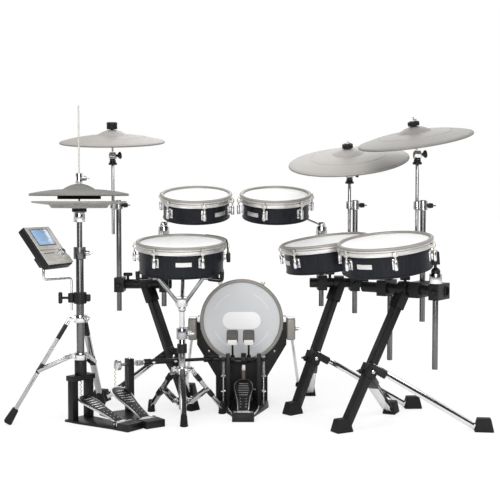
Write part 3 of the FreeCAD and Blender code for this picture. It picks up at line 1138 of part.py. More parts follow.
def toms():
    apart = s.small_shell_d / 2 + s.hoop_reach + s.tom_gap / 2
    flat = (("tom_1", s.tom_mid_x - apart, 15, -135, left_rack, left_rack.spot(s.left_tom_post, s.post_offset)),
            ("tom_2", s.tom_mid_x + apart, -19, 131, middle_rack,
             middle_rack.spot(s.middle_tom_post, -s.post_offset)))
    for name, x, first_lug, bracket, rack, place in flat:
        where = Placement(vec(x, s.tom_y, s.tom_top), leaning(s.tom_tilt))
        socket = rack.tom_post(name, place, s.tom_post_bottom, s.tom_post_top)
        pivots[name] = socket
        mount = tom_mount(name, s.small_shell_d, s.tom_height, bracket, where, socket)
        drum(name, s.small_shell_d, s.tom_height, first_lug, where, mount)
    where = Placement(vec(s.floor_tom_1_x, s.floor_tom_1_y, s.floor_tom_1_top),
                      leaning(s.floor_tom_1_tilt, s.floor_tom_1_roll))
    socket = right_rack.tom_post("floor_tom_1", right_rack.spot(s.floor_tom_1_post, -s.post_offset),
                                 s.floor_post_bottom, s.floor_post_top)
    pivots["floor_tom_1"] = socket
    mount = tom_mount("floor_tom_1", s.large_shell_d, s.floor_tom_height, 105, where, socket)
    drum("floor_tom_1", s.large_shell_d, s.floor_tom_height, 15, where, mount)
    lean = leaning(s.floor_tom_2_tilt, s.floor_tom_2_roll)
    hang = lean.multVec(arm_end(s.large_shell_d, s.floor_tom_height, 93))
    place = right_rack.spot(s.floor_tom_2_post, s.floor_tom_2_offset)
    where = Placement(Vector(place.x - hang.x, place.y - hang.y, number(s.floor_tom_2_top)), lean)
    socket = where.Base + hang
    top = socket.z - number(s.holder_height - s.holder_socket + s.holder_drop)
    right_rack.tom_post("floor_tom_2", socket, s.floor_post_bottom, top)
    pivots["floor_tom_2"] = socket
    mount = tom_mount("floor_tom_2", s.large_shell_d, s.floor_tom_height, 93, where, socket, bent=False)
    drum("floor_tom_2", s.large_shell_d, s.floor_tom_height, 3, where, mount)


toms()
pivots["crash_left"] = left_rack.cymbal_post(
    "crash_left", left_rack.spot(s.left_crash_post, s.post_offset), s.left_crash_rim,
    s.left_crash_tilt, s.left_crash_roll, s.crash_d)
pivots["ride"] = middle_rack.cymbal_post(
    "ride", middle_rack.spot(s.ride_post, s.post_offset), s.ride_rim, s.ride_tilt, s.ride_roll, s.ride_d)
pivots["crash_right"] = right_rack.cymbal_post(
    "crash_right", right_rack.spot(s.right_crash_post, -s.post_offset), s.right_crash_rim,
    s.right_crash_tilt, s.right_crash_roll, s.crash_d)
node("rack_frames", rack_frames)
node("rack_struts", rack_struts)
node("rack_posts", rack_posts)
node("rack_clamps", rack_clamps)
node("rack_feet", rack_feet)

doc.recompute()
faults = [thing.Name for thing in doc.Objects if "Invalid" in thing.State or "Error" in thing.State]
faults += [thing.Label for thing in NODES if thing.Shape.isNull() or not thing.Shape.isValid()]
if faults:
    raise RuntimeError("pieces that failed: " + ", ".join(faults))
os.makedirs("parts", exist_ok=True)
for thing in NODES:
    thing.Shape.exportStep(f"parts/{thing.Label}.step")
print(len(NODES), "nodes", sum(len(thing.Shape.Solids) for thing in NODES), "solids")
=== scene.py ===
import bpy
import json
import math

from mathutils import Matrix, Vector


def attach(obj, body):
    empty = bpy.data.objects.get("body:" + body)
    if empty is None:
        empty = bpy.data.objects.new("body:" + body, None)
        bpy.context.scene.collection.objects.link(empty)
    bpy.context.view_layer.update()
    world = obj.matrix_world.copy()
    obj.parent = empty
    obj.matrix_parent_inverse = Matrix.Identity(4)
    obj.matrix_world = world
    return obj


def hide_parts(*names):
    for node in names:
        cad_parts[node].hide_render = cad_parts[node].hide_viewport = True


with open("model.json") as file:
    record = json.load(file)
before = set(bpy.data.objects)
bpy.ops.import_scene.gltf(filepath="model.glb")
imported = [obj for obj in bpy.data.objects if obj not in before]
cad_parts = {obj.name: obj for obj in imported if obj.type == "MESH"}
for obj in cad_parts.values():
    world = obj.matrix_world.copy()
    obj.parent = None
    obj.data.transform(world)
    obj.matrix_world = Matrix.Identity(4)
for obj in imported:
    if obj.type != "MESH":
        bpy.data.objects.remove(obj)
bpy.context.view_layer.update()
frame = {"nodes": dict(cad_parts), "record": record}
nodes = frame["nodes"]
bodies = frame["record"]["behaviour"]["bodies"]
bodyOf = {node: body for body, members in bodies.items() for node in members}
print("frame loaded:", len(nodes), "nodes")

# node trees


def feed(tree, node, inputs):
    # sockets among the inputs are linked, other values are set
    for label, value in inputs.items():
        if isinstance(value, bpy.types.NodeSocket):
            tree.links.new(value, node.inputs[label])
        else:
            node.inputs[label].default_value = value


def addNode(tree, kind, inputs=None, **settings):
    node = tree.nodes.new("ShaderNode" + kind)
    for label, value in settings.items():
        setattr(node, label, value)
    feed(tree, node, inputs or {})
    return node


def addMath(tree, operation, *values):
    return addNode(tree, "Math", dict(enumerate(values)), operation=operation).outputs[0]


def addRange(tree, value, before, after):
    # a value carried from one range to another
    inputs = {"Value": value, "From Min": before[0], "From Max": before[1], "To Min": after[0],
              "To Max": after[1]}
    return addNode(tree, "MapRange", inputs).outputs["Result"]


def bareTree(holder):
    holder.use_nodes = True
    holder.node_tree.nodes.clear()
    return holder.node_tree


# camera and studio

shot = {"lens": 72, "sensor": 36, "place": (0.033, -3.93, 0.8), "pitch": 87.138, "floorHalf": 30,
        "litSpot": (0, -0.2, 0.5), "white": (1, 1, 1, 1), "paper": (0.93, 0.93, 0.93, 1)}
lamps = {
    "keyLamp": {"place": (-2.6, -3.2, 4.2), "size": 3.2, "power": 105},
    "sideLamp": {"place": (3.4, -2.2, 3.0), "size": 2.6, "power": 52},
    "rearLamp": {"place": (0.4, 3.2, 3.6), "size": 3.0, "power": 60},
    "frontLamp": {"place": (0.2, -4.6, 1.9), "size": 2.4, "power": 92},
}


def setCamera():
    bpy.ops.object.camera_add(location=shot["place"], rotation=(math.radians(shot["pitch"]), 0, 0))
    camera = bpy.context.active_object
    camera.data.lens = shot["lens"]
    camera.data.sensor_width = shot["sensor"]
    bpy.context.scene.camera = camera
    bpy.context.scene.view_settings.view_transform = "Standard"


def setLamps():
    for name, spec in lamps.items():
        bpy.ops.object.light_add(type="AREA", location=spec["place"])
        lamp = bpy.context.active_object
        lamp.name = name
        lamp.data.size = spec["size"]
        lamp.data.energy = spec["power"]
        way = Vector(shot["litSpot"]) - Vector(spec["place"])
        lamp.rotation_euler = way.to_track_quat("-Z", "Y").to_euler()


def setAir():
    world = bpy.data.worlds.new("studioAir")
    bpy.context.scene.world = world
    tree = bareTree(world)
    rays = addNode(tree, "LightPath").outputs
    seen = addMath(tree, "MAXIMUM", rays["Is Camera Ray"], rays["Is Transmission Ray"])
    level = addMath(tree, "MULTIPLY_ADD", seen, 0.4, 0.6)
    # mirrors see a dark room on the viewer's side and a bright wall behind
    axes = addNode(tree, "SeparateXYZ", {0: addNode(tree, "TexCoord").outputs["Object"]}).outputs
    room = addRange(tree, axes["Y"], (-0.3, 0.3), (0.06, 0.9))
    strength = addNode(tree, "Mix", {"Factor": rays["Is Glossy Ray"], "A": level, "B": room})
    air = addNode(tree, "Background", {"Color": shot["white"], "Strength": strength.outputs["Result"]})
    addNode(tree, "OutputWorld", {"Surface": air.outputs[0]})


def setFloor():
    bpy.ops.mesh.primitive_plane_add(size=2 * shot["floorHalf"], location=(0, 0, 0))
    floor = bpy.context.active_object
    floor.name = "studioFloor"
    paper = bpy.data.materials.new("floorPaper")
    tree = bareTree(paper)
    matt = addNode(tree, "BsdfDiffuse", {"Color": shot["paper"]})
    glow = addNode(tree, "Emission", {"Color": shot["white"], "Strength": 1.05})
    spot = addNode(tree, "TexCoord").outputs["Object"]
    away = addNode(tree, "VectorMath", {0: spot}, operation="LENGTH").outputs["Value"]
    fade = addRange(tree, away, (0.7, 1.8), (0.66, 1.0))
    share = addMath(tree, "MULTIPLY", addNode(tree, "LightPath").outputs["Is Camera Ray"], fade)
    blend = addNode(tree, "MixShader", {0: share, 1: matt.outputs[0], 2: glow.outputs[0]})
    addNode(tree, "OutputMaterial", {"Surface": blend.outputs[0]})
    floor.data.materials.append(paper)


setCamera()
setLamps()
setAir()
setFloor()
print("studio set")

# shared surface effects, each a node group that gives a mask from 0 to 1


def newGroup(name, **kinds):
    group = bpy.data.node_groups.new(name, "ShaderNodeTree")
    for label, kind in {"Vector": "Vector", **kinds}.items():
        group.interface.new_socket(name=label, in_out="INPUT", socket_type="NodeSocket" + kind)
    group.interface.new_socket(name="Mask", in_out="OUTPUT", socket_type="NodeSocketFloat")
    given, result = group.nodes.new("NodeGroupInput"), group.nodes.new("NodeGroupOutput")
    return group, given.outputs, result.inputs["Mask"]


def makeGroups():
    # speckle: moulded texture, powder coat and soft smudges
    group, given, mask = newGroup("speckle", Scale="Float", Cloud="Float")
    fine = addNode(group, "TexNoise", {"Vector": given["Vector"], "Scale": given["Scale"], "Detail": 3})
    broad = addNode(group, "TexNoise", {"Vector": given["Vector"], "Scale": given["Cloud"], "Detail": 5})
    layers = [addMath(group, "MULTIPLY", noise.outputs["Fac"], weight)
              for noise, weight in ((fine, 0.6), (broad, 0.4))]
    group.links.new(addMath(group, "ADD", *layers), mask)
    # streaks: wood grain or brushing, stretched by a vector
    group, given, mask = newGroup("streaks", Stretch="Vector", Sharp="Float")
    long = addNode(group, "VectorMath", {0: given["Vector"], 1: given["Stretch"]}, operation="MULTIPLY")
    noise = addNode(group, "TexNoise", {"Vector": long.outputs[0], "Scale": 1, "Detail": 6,
                                        "Roughness": 0.65})
    steep = addMath(group, "POWER", noise.outputs["Fac"], given["Sharp"])
    group.links.new(addMath(group, "MULTIPLY", steep, 2.2), mask)
    # weave: two crossing threads
    group, given, mask = newGroup("weave", Threads="Float")
    axes = addNode(group, "SeparateXYZ", {0: given["Vector"]}).outputs
    across, deep, high = [addMath(group, "SINE", addMath(group, "MULTIPLY", axes[axis], given["Threads"]))
                          for axis in "XYZ"]
    crossed = addMath(group, "MULTIPLY", addMath(group, "ADD", deep, high), across)
    group.links.new(addMath(group, "MULTIPLY_ADD", crossed, 0.5, 0.5), mask)
    # rings: turned grooves around a centre
    group, given, mask = newGroup("rings", Pitch="Float")
    axes = addNode(group, "SeparateXYZ", {0: given["Vector"]}).outputs
    squares = [addMath(group, "POWER", axes[axis], 2) for axis in "XY"]
    radius = addMath(group, "SQRT", addMath(group, "ADD", *squares))
    wave = addMath(group, "SINE", addMath(group, "MULTIPLY", radius, given["Pitch"]))
    noise = addNode(group, "TexNoise", {"Vector": given["Vector"], "Scale": 260})
    soft = addMath(group, "MULTIPLY", wave, 0.25)
    group.links.new(addMath(group, "ADD", soft, noise.outputs["Fac"]), mask)


makeGroups()


def finish(name, light, dark, rough, metal, look, spread, bump=0.0, coat=0.0, centre=None, shine=0.5):
    # one material: the effect's mask moves its colour between two tones, its roughness and its bump
    effect, *values = look
    material = bpy.data.materials.new(name)
    material.use_nodes = True
    tree = material.node_tree
    vector = addNode(tree, "TexCoord").outputs["Object"]
    if centre is not None:
        inputs = {"Vector": vector, "Location": centre.to_translation(), "Rotation": centre.to_euler()}
        vector = addNode(tree, "Mapping", inputs, vector_type="TEXTURE").outputs["Vector"]
    inputs = {"Vector": vector, **dict(enumerate(values, 1))}
    mask = addNode(tree, "Group", inputs, node_tree=bpy.data.node_groups[effect]).outputs["Mask"]
    tones = addNode(tree, "Mix", {"Factor": mask, "A": (*dark, 1), "B": (*light, 1)}, data_type="RGBA")
    level = addRange(tree, mask, (0, 1), (max(0.02, rough - spread / 2), min(1.0, rough + spread / 2)))
    inputs = {"Base Color": tones.outputs["Result"], "Roughness": level, "Metallic": metal,
              "Specular IOR Level": shine, "Coat Weight": coat, "Coat Roughness": 0.08}
    if bump:
        relief = addNode(tree, "Bump", {"Strength": bump, "Distance": 0.0006, "Height": mask})
        inputs["Normal"] = relief.outputs["Normal"]
    feed(tree, tree.nodes["Principled BSDF"], inputs)
    return material


black = (0.012, 0.012, 0.0128), (0.004, 0.004, 0.0045)
finishes = {
    "lacquer": finish("shellLacquer", (0.0115, 0.0145, 0.0235), (0.0008, 0.001, 0.0018), 0.38, 0,
                      ("streaks", (150, 150, 4), 2.8), 0.16, 0.3, shine=0.24),
    "taupe": finish("hoopTaupe", (0.33, 0.312, 0.288), (0.25, 0.236, 0.217), 0.42, 0.3,
                    ("speckle", 500, 12), 0.12, 0.06),
    "silver": finish("hoopBand", (0.7, 0.69, 0.67), (0.55, 0.54, 0.52), 0.26, 0.85,
                     ("streaks", (30, 30, 900), 1.4), 0.1, 0.04),
    "chrome": finish("chromePlate", (0.78, 0.78, 0.79), (0.66, 0.66, 0.67), 0.1, 1, ("speckle", 30, 5), 0.07),
    # a darker copy of the chrome for legs, braces, basket arms and posts: its lower tones are painted shade
    # for their darker reflections
    "legChrome": finish("legChrome", (0.5, 0.5, 0.51), (0.36, 0.36, 0.37), 0.14, 1, ("speckle", 40, 6), 0.1),
    "tube": finish("darkTube", (0.165, 0.165, 0.17), (0.1, 0.1, 0.103), 0.2, 0.9,
                   ("streaks", (700, 700, 12), 1.4), 0.12, 0.03),
    "steel": finish("springSteel", (0.72, 0.72, 0.72), (0.5, 0.5, 0.5), 0.24, 1,
                    ("streaks", (600, 600, 40), 1.5), 0.12, 0.05),
    "brass": finish("rodBrass", (0.74, 0.66, 0.5), (0.58, 0.5, 0.36), 0.3, 0.7, ("speckle", 300, 20), 0.12),
    "mesh": finish("headMesh", (0.97, 0.97, 0.97), (0.9, 0.9, 0.9), 0.62, 0, ("weave", 4200), 0.1, 0.35),
    "cloth": finish("kickCloth", (0.7, 0.715, 0.73), (0.62, 0.635, 0.65), 0.5, 0,
                    ("weave", 3600), 0.12, 0.25),
    "patch": finish("kickPatch", (0.99, 0.99, 0.99), (0.97, 0.97, 0.97), 0.4, 0,
                    ("speckle", 700, 8), 0.1, 0.05),
    "arcTone": finish("kickArc", (0.88, 0.88, 0.88), (0.82, 0.82, 0.82), 0.45, 0, ("speckle", 700, 8), 0.1),
    "powder": finish("frameBlack", *black, 0.42, 0, ("speckle", 900, 7), 0.16, 0.14, shine=0.3),
    "plastic": finish("clampPlastic", *black, 0.46, 0, ("speckle", 1300, 10), 0.14, 0.2, shine=0.3),
    "rubber": finish("footRubber", (0.011, 0.011, 0.0115), (0.004, 0.004, 0.0045), 0.68, 0,
                     ("speckle", 800, 9), 0.16, 0.25, shine=0.3),
    "felt": finish("beaterFelt", (0.15, 0.14, 0.13), (0.08, 0.075, 0.07), 0.85, 0,
                   ("speckle", 1500, 20), 0.1, 0.5),
    "white": finish("beaterWhite", (0.95, 0.94, 0.91), (0.86, 0.85, 0.82), 0.5, 0,
                    ("speckle", 900, 14), 0.15, 0.15),
    "leather": finish("strapBrown", (0.16, 0.12, 0.085), (0.08, 0.058, 0.04), 0.6, 0,
                      ("speckle", 700, 40), 0.14, 0.3),
    "panel": finish("panelTaupe", (0.52, 0.495, 0.465), (0.44, 0.42, 0.39), 0.36, 0.3,
                    ("streaks", (700, 60, 60), 1.4), 0.1, 0.04),
    "panelDark": finish("panelBezel", (0.07, 0.068, 0.066), (0.035, 0.034, 0.033), 0.38, 0,
                        ("speckle", 900, 9), 0.12, 0.1),
    "screen": finish("screenBlue", (0.34, 0.5, 0.74), (0.27, 0.42, 0.66), 0.2, 0, ("speckle", 60, 9), 0.06,
                     coat=0.6),
    "padRim": finish("padRimGrey", (0.19, 0.18, 0.17), (0.13, 0.125, 0.115), 0.5, 0,
                     ("speckle", 700, 12), 0.12, 0.1),
}
print("finishes made:", len(finishes))

# modelling helpers, lengths in metres unless they say otherwise

shift = Matrix.Translation
turnedWeld, solidWeld, flatAngle = 0.000004, 0.00002, 1.5
softAngle, wireAngle, solidAngle = 35, 50, 38
bevelAngle, solidBevel = 40, 45


def turn(degrees, axis="Z"):
    return Matrix.Rotation(math.radians(degrees), 4, axis)


def axesFrame(side, rise, run):
    return Matrix((side, rise, run)).transposed().to_4x4()


def aim(at, way):
    # the frame at a point with Z along a way
    return shift(at) @ Vector(way).to_track_quat("Z", "Y").to_matrix().to_4x4()


def moved(piece, matrix):
    piece.data.transform(matrix)
    return piece


def allMoved(parts, matrix):
    return [moved(part, matrix) for part in parts]


def pickOnly(piece):
    bpy.ops.object.select_all(action="DESELECT")
    piece.select_set(True)
    bpy.context.view_layer.objects.active = piece


def mode(name):
    bpy.ops.object.mode_set(mode=name)


def editAll(piece):
    pickOnly(piece)
    mode("EDIT")
    bpy.ops.mesh.select_all(action="SELECT")


def linked(data):
    piece = bpy.data.objects.new("piece", data)
    bpy.context.scene.collection.objects.link(piece)
    return piece


def smooth(piece, angle):
    pickOnly(piece)
    bpy.ops.object.shade_smooth_by_angle(angle=math.radians(angle))


def coated(piece, tone, angle=softAngle):
    piece.data.materials.append(finishes[tone])
    smooth(piece, angle)
    return piece


def fattened(piece, value):
    editAll(piece)
    bpy.ops.transform.shrink_fatten(value=value)
    mode("OBJECT")
    return piece


def roundEdges(piece, width, segments=2, angle=bevelAngle):
    pickOnly(piece)
    bevel = piece.modifiers.new("edges", "BEVEL")
    bevel.width = width
    bevel.segments = segments
    bevel.limit_method = "ANGLE"
    bevel.angle_limit = math.radians(angle)
    bpy.ops.object.modifier_apply(modifier="edges")


def block(size, at, edge, tone, segments=2, taper=1.0):
    # a rounded box on its centre, size and edge in millimetres, its top face drawn in by the taper
    bpy.ops.mesh.primitive_cube_add(size=1)
    piece = bpy.context.active_object
    piece.data.transform(Matrix.Diagonal((*(side / 1000 for side in size), 1)))
    if taper != 1.0:
        for vertex in piece.data.vertices:
            if vertex.co.z > 0:
                vertex.co.x *= taper
                vertex.co.y *= taper
    roundEdges(piece, edge / 1000, segments)
    return coated(moved(piece, shift(at)), tone)


def mm(*numbers):
    # pairs in metres from a row of millimetres
    return [(first / 1000, second / 1000) for first, second in zip(numbers[::2], numbers[1::2])]


def offset(profile, radius, height=0):
    # a profile moved out by a radius and up by a height
    return [(radius + out, height + up) for out, up in profile]


def turned(profile, tone, steps, sweep=360, start=0.0, angle=softAngle):
    # a profile of (radius, height) pairs swept about Z; one that starts off the axis is closed
    mesh = bpy.data.meshes.new("turned")
    points = [(radius * math.sin(start), -radius * math.cos(start), height) for radius, height in profile]
    if profile[0][0] > 0:
        points.append(points[0])
    mesh.from_pydata(points, [(i, i + 1) for i in range(len(points) - 1)], [])
    piece = linked(mesh)
    editAll(piece)
    bpy.ops.mesh.spin(steps=steps, angle=math.radians(sweep), center=(0, 0, 0), axis=(0, 0, 1))
    bpy.ops.mesh.select_all(action="SELECT")
    bpy.ops.mesh.remove_doubles(threshold=turnedWeld)
    if sweep < 360:
        bpy.ops.mesh.select_all(action="DESELECT")
        bpy.ops.mesh.select_mode(type="EDGE")
        bpy.ops.mesh.select_non_manifold()
        bpy.ops.mesh.edge_face_add()
        bpy.ops.mesh.select_mode(type="VERT")
        bpy.ops.mesh.select_all(action="SELECT")
    bpy.ops.mesh.normals_make_consistent(inside=False)
    mode("OBJECT")
    return coated(piece, tone, angle)


def slab(outline, low, high, edge, tone, segments=2):
    # a flat plate of a closed outline of (x, y) points between two heights
    mesh = bpy.data.meshes.new("slab")
    mesh.from_pydata([(x, y, low) for x, y in outline], [], [list(range(len(outline)))])
    piece = linked(mesh)
    editAll(piece)
    bpy.ops.mesh.extrude_region_move(TRANSFORM_OT_translate={"value": (0, 0, high - low)})
    bpy.ops.mesh.select_all(action="SELECT")
    bpy.ops.mesh.normals_make_consistent(inside=False)
    mode("OBJECT")
    roundEdges(piece, edge, segments)
    return coated(piece, tone)


def wire(points, radius, tone, sides=3):
    # a round rod along points, bent softly
    curve = bpy.data.curves.new("wire", "CURVE")
    curve.dimensions = "3D"
    curve.bevel_depth = radius
    curve.bevel_resolution = sides
    curve.use_fill_caps = True
    curve.resolution_u = 6
    line = curve.splines.new("NURBS")
    line.points.add(len(points) - 1)
    for point, place in zip(line.points, points):
        point.co = (*place, 1)
    line.order_u = 3
    line.use_endpoint_u = True
    pickOnly(linked(curve))
    bpy.ops.object.convert(target="MESH")
    piece = bpy.context.active_object
    piece.data.materials.clear()
    return coated(piece, tone, wireAngle)


def camel(node):
    # the name of a piece from its node
    first, *others = node.split("_")
    return first + "".join(word.capitalize() for word in others)


def joined(parts, node, name=None):
    # the parts as one piece that rides on the node's body and replaces the node
    pickOnly(parts[0])
    for part in parts:
        part.select_set(True)
    if len(parts) > 1:
        bpy.ops.object.join()
    piece = bpy.context.active_object
    piece.name = piece.data.name = name or camel(node)
    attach(piece, bodyOf[node])
    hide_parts(node)


def islandsOf(mesh):
    # connected groups of faces, as lists of face indices
    owner = list(range(len(mesh.vertices)))

    def root(index):
        while owner[index] != index:
            owner[index] = owner[owner[index]]
            index = owner[index]
        return index
    for edge in mesh.edges:
        first, second = root(edge.vertices[0]), root(edge.vertices[1])
        if first != second:
            owner[first] = second
    groups = {}
    for face in mesh.polygons:
        groups.setdefault(root(face.vertices[0]), []).append(face.index)
    return list(groups.values())


def islandBox(mesh, faces):
    points = [mesh.vertices[index].co for face in faces for index in mesh.polygons[face].vertices]
    return [Vector([pick(point[axis] for point in points) for axis in range(3)]) for pick in (min, max)]


def dropFaces(piece, faces):
    mesh = piece.data
    for element in (*mesh.polygons, *mesh.vertices, *mesh.edges):
        element.select = False
    for face in faces:
        mesh.polygons[face].select = True
    pickOnly(piece)
    mode("EDIT")
    bpy.ops.mesh.select_mode(type="FACE")
    bpy.ops.mesh.delete(type="FACE")
    bpy.ops.mesh.select_mode(type="VERT")
    mode("OBJECT")


def dressed(node, edge, rules, tone, segments=2):
    # a copy of a node's shape with rounded edges; rules give islands other finishes or leave them out
    piece = linked(nodes[node].data.copy())
    mesh = piece.data
    mesh.materials.clear()
    editAll(piece)
    bpy.ops.mesh.remove_doubles(threshold=solidWeld)
    bpy.ops.mesh.dissolve_limited(angle_limit=math.radians(flatAngle))
    mode("OBJECT")
    names = list(dict.fromkeys([tone] + [name for test, name in rules if name]))
    for name in names:
        mesh.materials.append(finishes[name])
    dropped = []
    for faces in islandsOf(mesh):
        low, high = islandBox(mesh, faces)
        for test, name in rules:
            if test((low + high) / 2, high - low):
                if name is None:
                    dropped.extend(faces)
                else:
                    for face in faces:
                        mesh.polygons[face].material_index = names.index(name)
                break
    if dropped:
        dropFaces(piece, dropped)
    roundEdges(piece, edge, segments, solidBevel)
    smooth(piece, solidAngle)
    return piece


def stadium(length, width, steps=12):
    straight = (length - width) / 2
    points = []
    for side in (1, -1):
        for step in range(steps + 1):
            angle = math.pi * (step / steps - 0.5) + (0 if side > 0 else math.pi)
            points.append((side * straight + math.cos(angle) * width / 2, math.sin(angle) * width / 2))
    return points


def mirrored(halves):
    # a closed outline from (half width, y) pairs listed from the near end to the far end
    return [(half, y) for half, y in halves] + [(-half, y) for half, y in reversed(halves)]


def wingNut(at, way, size, tone="chrome"):
    # a hub with two ears, its axis along the way
    parts = [turned(mm(0, 0, 7.5, 0, 8, 1, 7.2, 12, 5.2, 14, 0, 14), tone, 20)]
    for angle in (0, 180):
        ear = slab(mm(3, 2, 9, 4, 12.5, 11, 12.2, 19, 9.5, 21.5, 6.8, 18, 4.5, 13, 3, 12),
                   -0.0017, 0.0017, 0.0011, tone)
        moved(ear, turn(90, "X"))
        parts.append(moved(ear, turn(angle)))
    return allMoved(parts, aim(at, way) @ Matrix.Scale(size, 4))


def screwHead(at, way, radius):
    # a domed screw with a slot
    head = turned([(0, -0.002), (radius, -0.002), (radius, 0.001), (radius * 0.8, radius * 0.45),
                   (radius * 0.35, radius * 0.58), (0, radius * 0.6)], "chrome", 20)
    slot = block((1500 * radius, 250 * radius, 200 * radius), (0, 0, radius * 0.56), 40 * radius, "plastic")
    return allMoved((head, slot), aim(at, way))


def collarOn(axis, bore, radius, low, high, tone):
    # a ring with rounded rims around a tube
    ring = turned([(bore, low), (radius - 0.0015, low), (radius, low + 0.0015), (radius, high - 0.0015),
                   (radius - 0.0015, high), (bore, high)], tone, 36)
    return moved(ring, shift((*axis, 0)))


def isKnob(centre, size):
    return all(0.022 < side < 0.032 for side in size)


print("helpers ready")

# drums: shell with a bare plate, hoop with lugs and rods, mesh head

drums = {
    "tom_1": {"radius": 0.127, "deep": 0.095, "at": (-0.174, -0.08, 0.827), "tilt": 13, "lug": 15,
              "plate": 49, "arm": -135, "armTone": "chrome"},
    "tom_2": {"radius": 0.127, "deep": 0.095, "at": (0.132, -0.08, 0.827), "tilt": 13, "lug": -19,
              "plate": -45, "arm": 131, "armTone": "chrome"},
    "snare": {"radius": 0.1525, "deep": 0.115, "at": (-0.217, -0.305, 0.654), "tilt": 7, "lug": 30,
              "plate": 7},
    "floor_tom_1": {"radius": 0.1525, "deep": 0.105, "at": (0.306, -0.25, 0.656), "tilt": 4.2, "roll": 7.9,
                    "lug": 15, "plate": -75, "arm": 105, "armTone": "powder"},
    "floor_tom_2": {"radius": 0.1525, "deep": 0.105, "at": (0.492, -0.527, 0.666), "tilt": 7.4, "roll": 6.1,
                    "lug": 3, "plate": -36, "arm": 93, "armTone": "powder"},
    "kick": {"radius": 0.1525, "deep": 0.17, "at": (0, -0.008, 0.325), "tilt": 90, "lug": 30},
}
# the hoop's rings from the top down, outwards from the shell
hoopRings = (
    ("taupe", mm(-2, -6, -0.5, -2.2, 2.2, -0.4, 5, 0, 8.5, -0.6, 11, -2.6, 12, -4.8, 11.8, -7.2, 10.4, -9,
                 4.6, -9, 4.6, -7.8, -2, -7.8)),
    ("silver", mm(4.6, -9, 10.2, -9, 11.4, -10.2, 11.6, -13.2, 10.4, -15, 4.6, -15)),
    ("panelDark", mm(4.6, -14.8, 8.6, -14.8, 8.6, -17, 4.6, -17)),
    ("silver", mm(4.6, -16.8, 9.8, -16.8, 9.8, -26.2, 10.8, -27.4, 10.8, -29.2, 9.8, -30, 4.6, -30)),
)
rodOut, shellLip = 0.018, 0.0024
plateLong = 0.056
armSector, armInner = 20, 0.06


def seat(spec):
    return shift(spec["at"]) @ turn(spec["tilt"], "X") @ turn(-spec.get("roll", 0), "Y")


def offArm(spec, centre):
    # true for a solid of the drum that is not its bracket or arm
    local = seat(spec).inverted() @ centre
    gap = abs((math.degrees(math.atan2(local.x, -local.y)) - spec["arm"] + 180) % 360 - 180)
    return local.xy.length < armInner or gap > armSector


def lugParts(radius, angle):
    # a chrome casting: base plate on the shell, neck and a barrel that takes the rod
    barrel = turned(mm(0, -77.2, 3.8, -76.8, 6.2, -74.8, 6.8, -72, 6.8, -44.5, 5.8, -42.5, 4.6, -40.5,
                       0, -40.5), "chrome", 20)
    moved(barrel, shift((0, -(radius + rodOut), 0)))
    neck = block((10.5, 14, 26), (0, -(radius + 0.0085), -0.058), 2.2, "chrome")
    base = block((18.5, 4, 36.5), (0, -(radius + 0.0016), -0.058), 1.6, "chrome")
    return allMoved((barrel, neck, base), turn(angle))


def rodParts(radius, angle):
    # ear of the hoop, washer, square key head and the brass rod
    ear = block((17.5, 14.5, 13.5), (0, -(radius + 0.0163), -0.023), 2.8, "silver")
    washer = turned(mm(0, -16.5, 5.6, -16.5, 6, -15.8, 5.6, -14.8, 0, -14.8), "chrome", 20)
    shank = turned(mm(0, -62, 2.4, -62, 3, -60, 3, -31, 3.6, -29, 3.6, -15, 0, -15), "brass", 16)
    key = block((6.2, 6.2, 7.2), (0, 0, -0.0114), 0.9, "brass")
    allMoved((washer, shank, key), shift((0, -(radius + rodOut), 0)))
    return allMoved((ear, washer, shank, key), turn(angle))


def shellParts(name, spec):
    radius, deep = spec["radius"], spec["deep"]
    lip = 0 if name == "kick" else shellLip
    wall = [(-0.006, 0.001 - deep), (-0.005, -deep), (lip - 0.0015, -deep), (lip, 0.0015 - deep),
            (lip, 0.005 - deep), (0, 0.0072 - deep), (0, -0.011), (-0.0016, -0.0094), (-0.005, -0.0094),
            (-0.006, -0.0105)]
    parts = [turned(offset(wall, radius), "lacquer", 96)]
    if "plate" in spec:
        plate = mm(0.1, -71, 1.2, -70.6, 1.2, -55.4, 0.1, -55)
        parts.append(turned(offset(plate, radius), "silver", 12, math.degrees(plateLong / radius),
                            math.radians(spec["plate"]) + plateLong / 2 / radius))
    return parts


def hoopParts(spec):
    # rings, trigger bar and cone, then rods and lugs all around
    radius = spec["radius"]
    parts = [turned(offset(profile, radius), tone, 96, angle=30) for tone, profile in hoopRings]
    parts.append(block((2000 * radius - 12.5, 30, 4), (0, 0, -0.0354), 1.2, "plastic"))
    parts.append(turned(mm(0, -33.4, 17, -33.4, 16.5, -30, 9.2, -10.5, 8, -9.5, 0, -9.4), "felt", 32))
    for angle in range(spec["lug"], spec["lug"] + 360, 60):
        parts += rodParts(radius, angle) + lugParts(radius, angle)
    return parts


def headParts(name, spec):
    radius = spec["radius"]
    skin = [(0, -0.008), (radius * 0.5, -0.008)]
    skin += offset(mm(-6, -8.1, 2.8, -8.2, 4, -9.6, 4.2, -22, 0.4, -22, 0.4, -10.5, -4, -9.2), radius)
    if name != "kick":
        return [turned(skin + [(0, -0.0092)], "mesh", 96)]
    # the kick's head has a plain strike patch and four arcs
    parts = [turned(skin + [(0, -0.0092)], "cloth", 96),
             slab(stadium(0.151, 0.068), -0.0082, -0.0074, 0.0004, "patch")]
    for angle in (45, 135, 225, 315):
        arc = mm(112, -8.2, 112, -7.6, 114.5, -7.6, 114.5, -8.2)
        parts.append(turned(arc, "arcTone", 14, 44, math.radians(angle + 22)))
    return parts


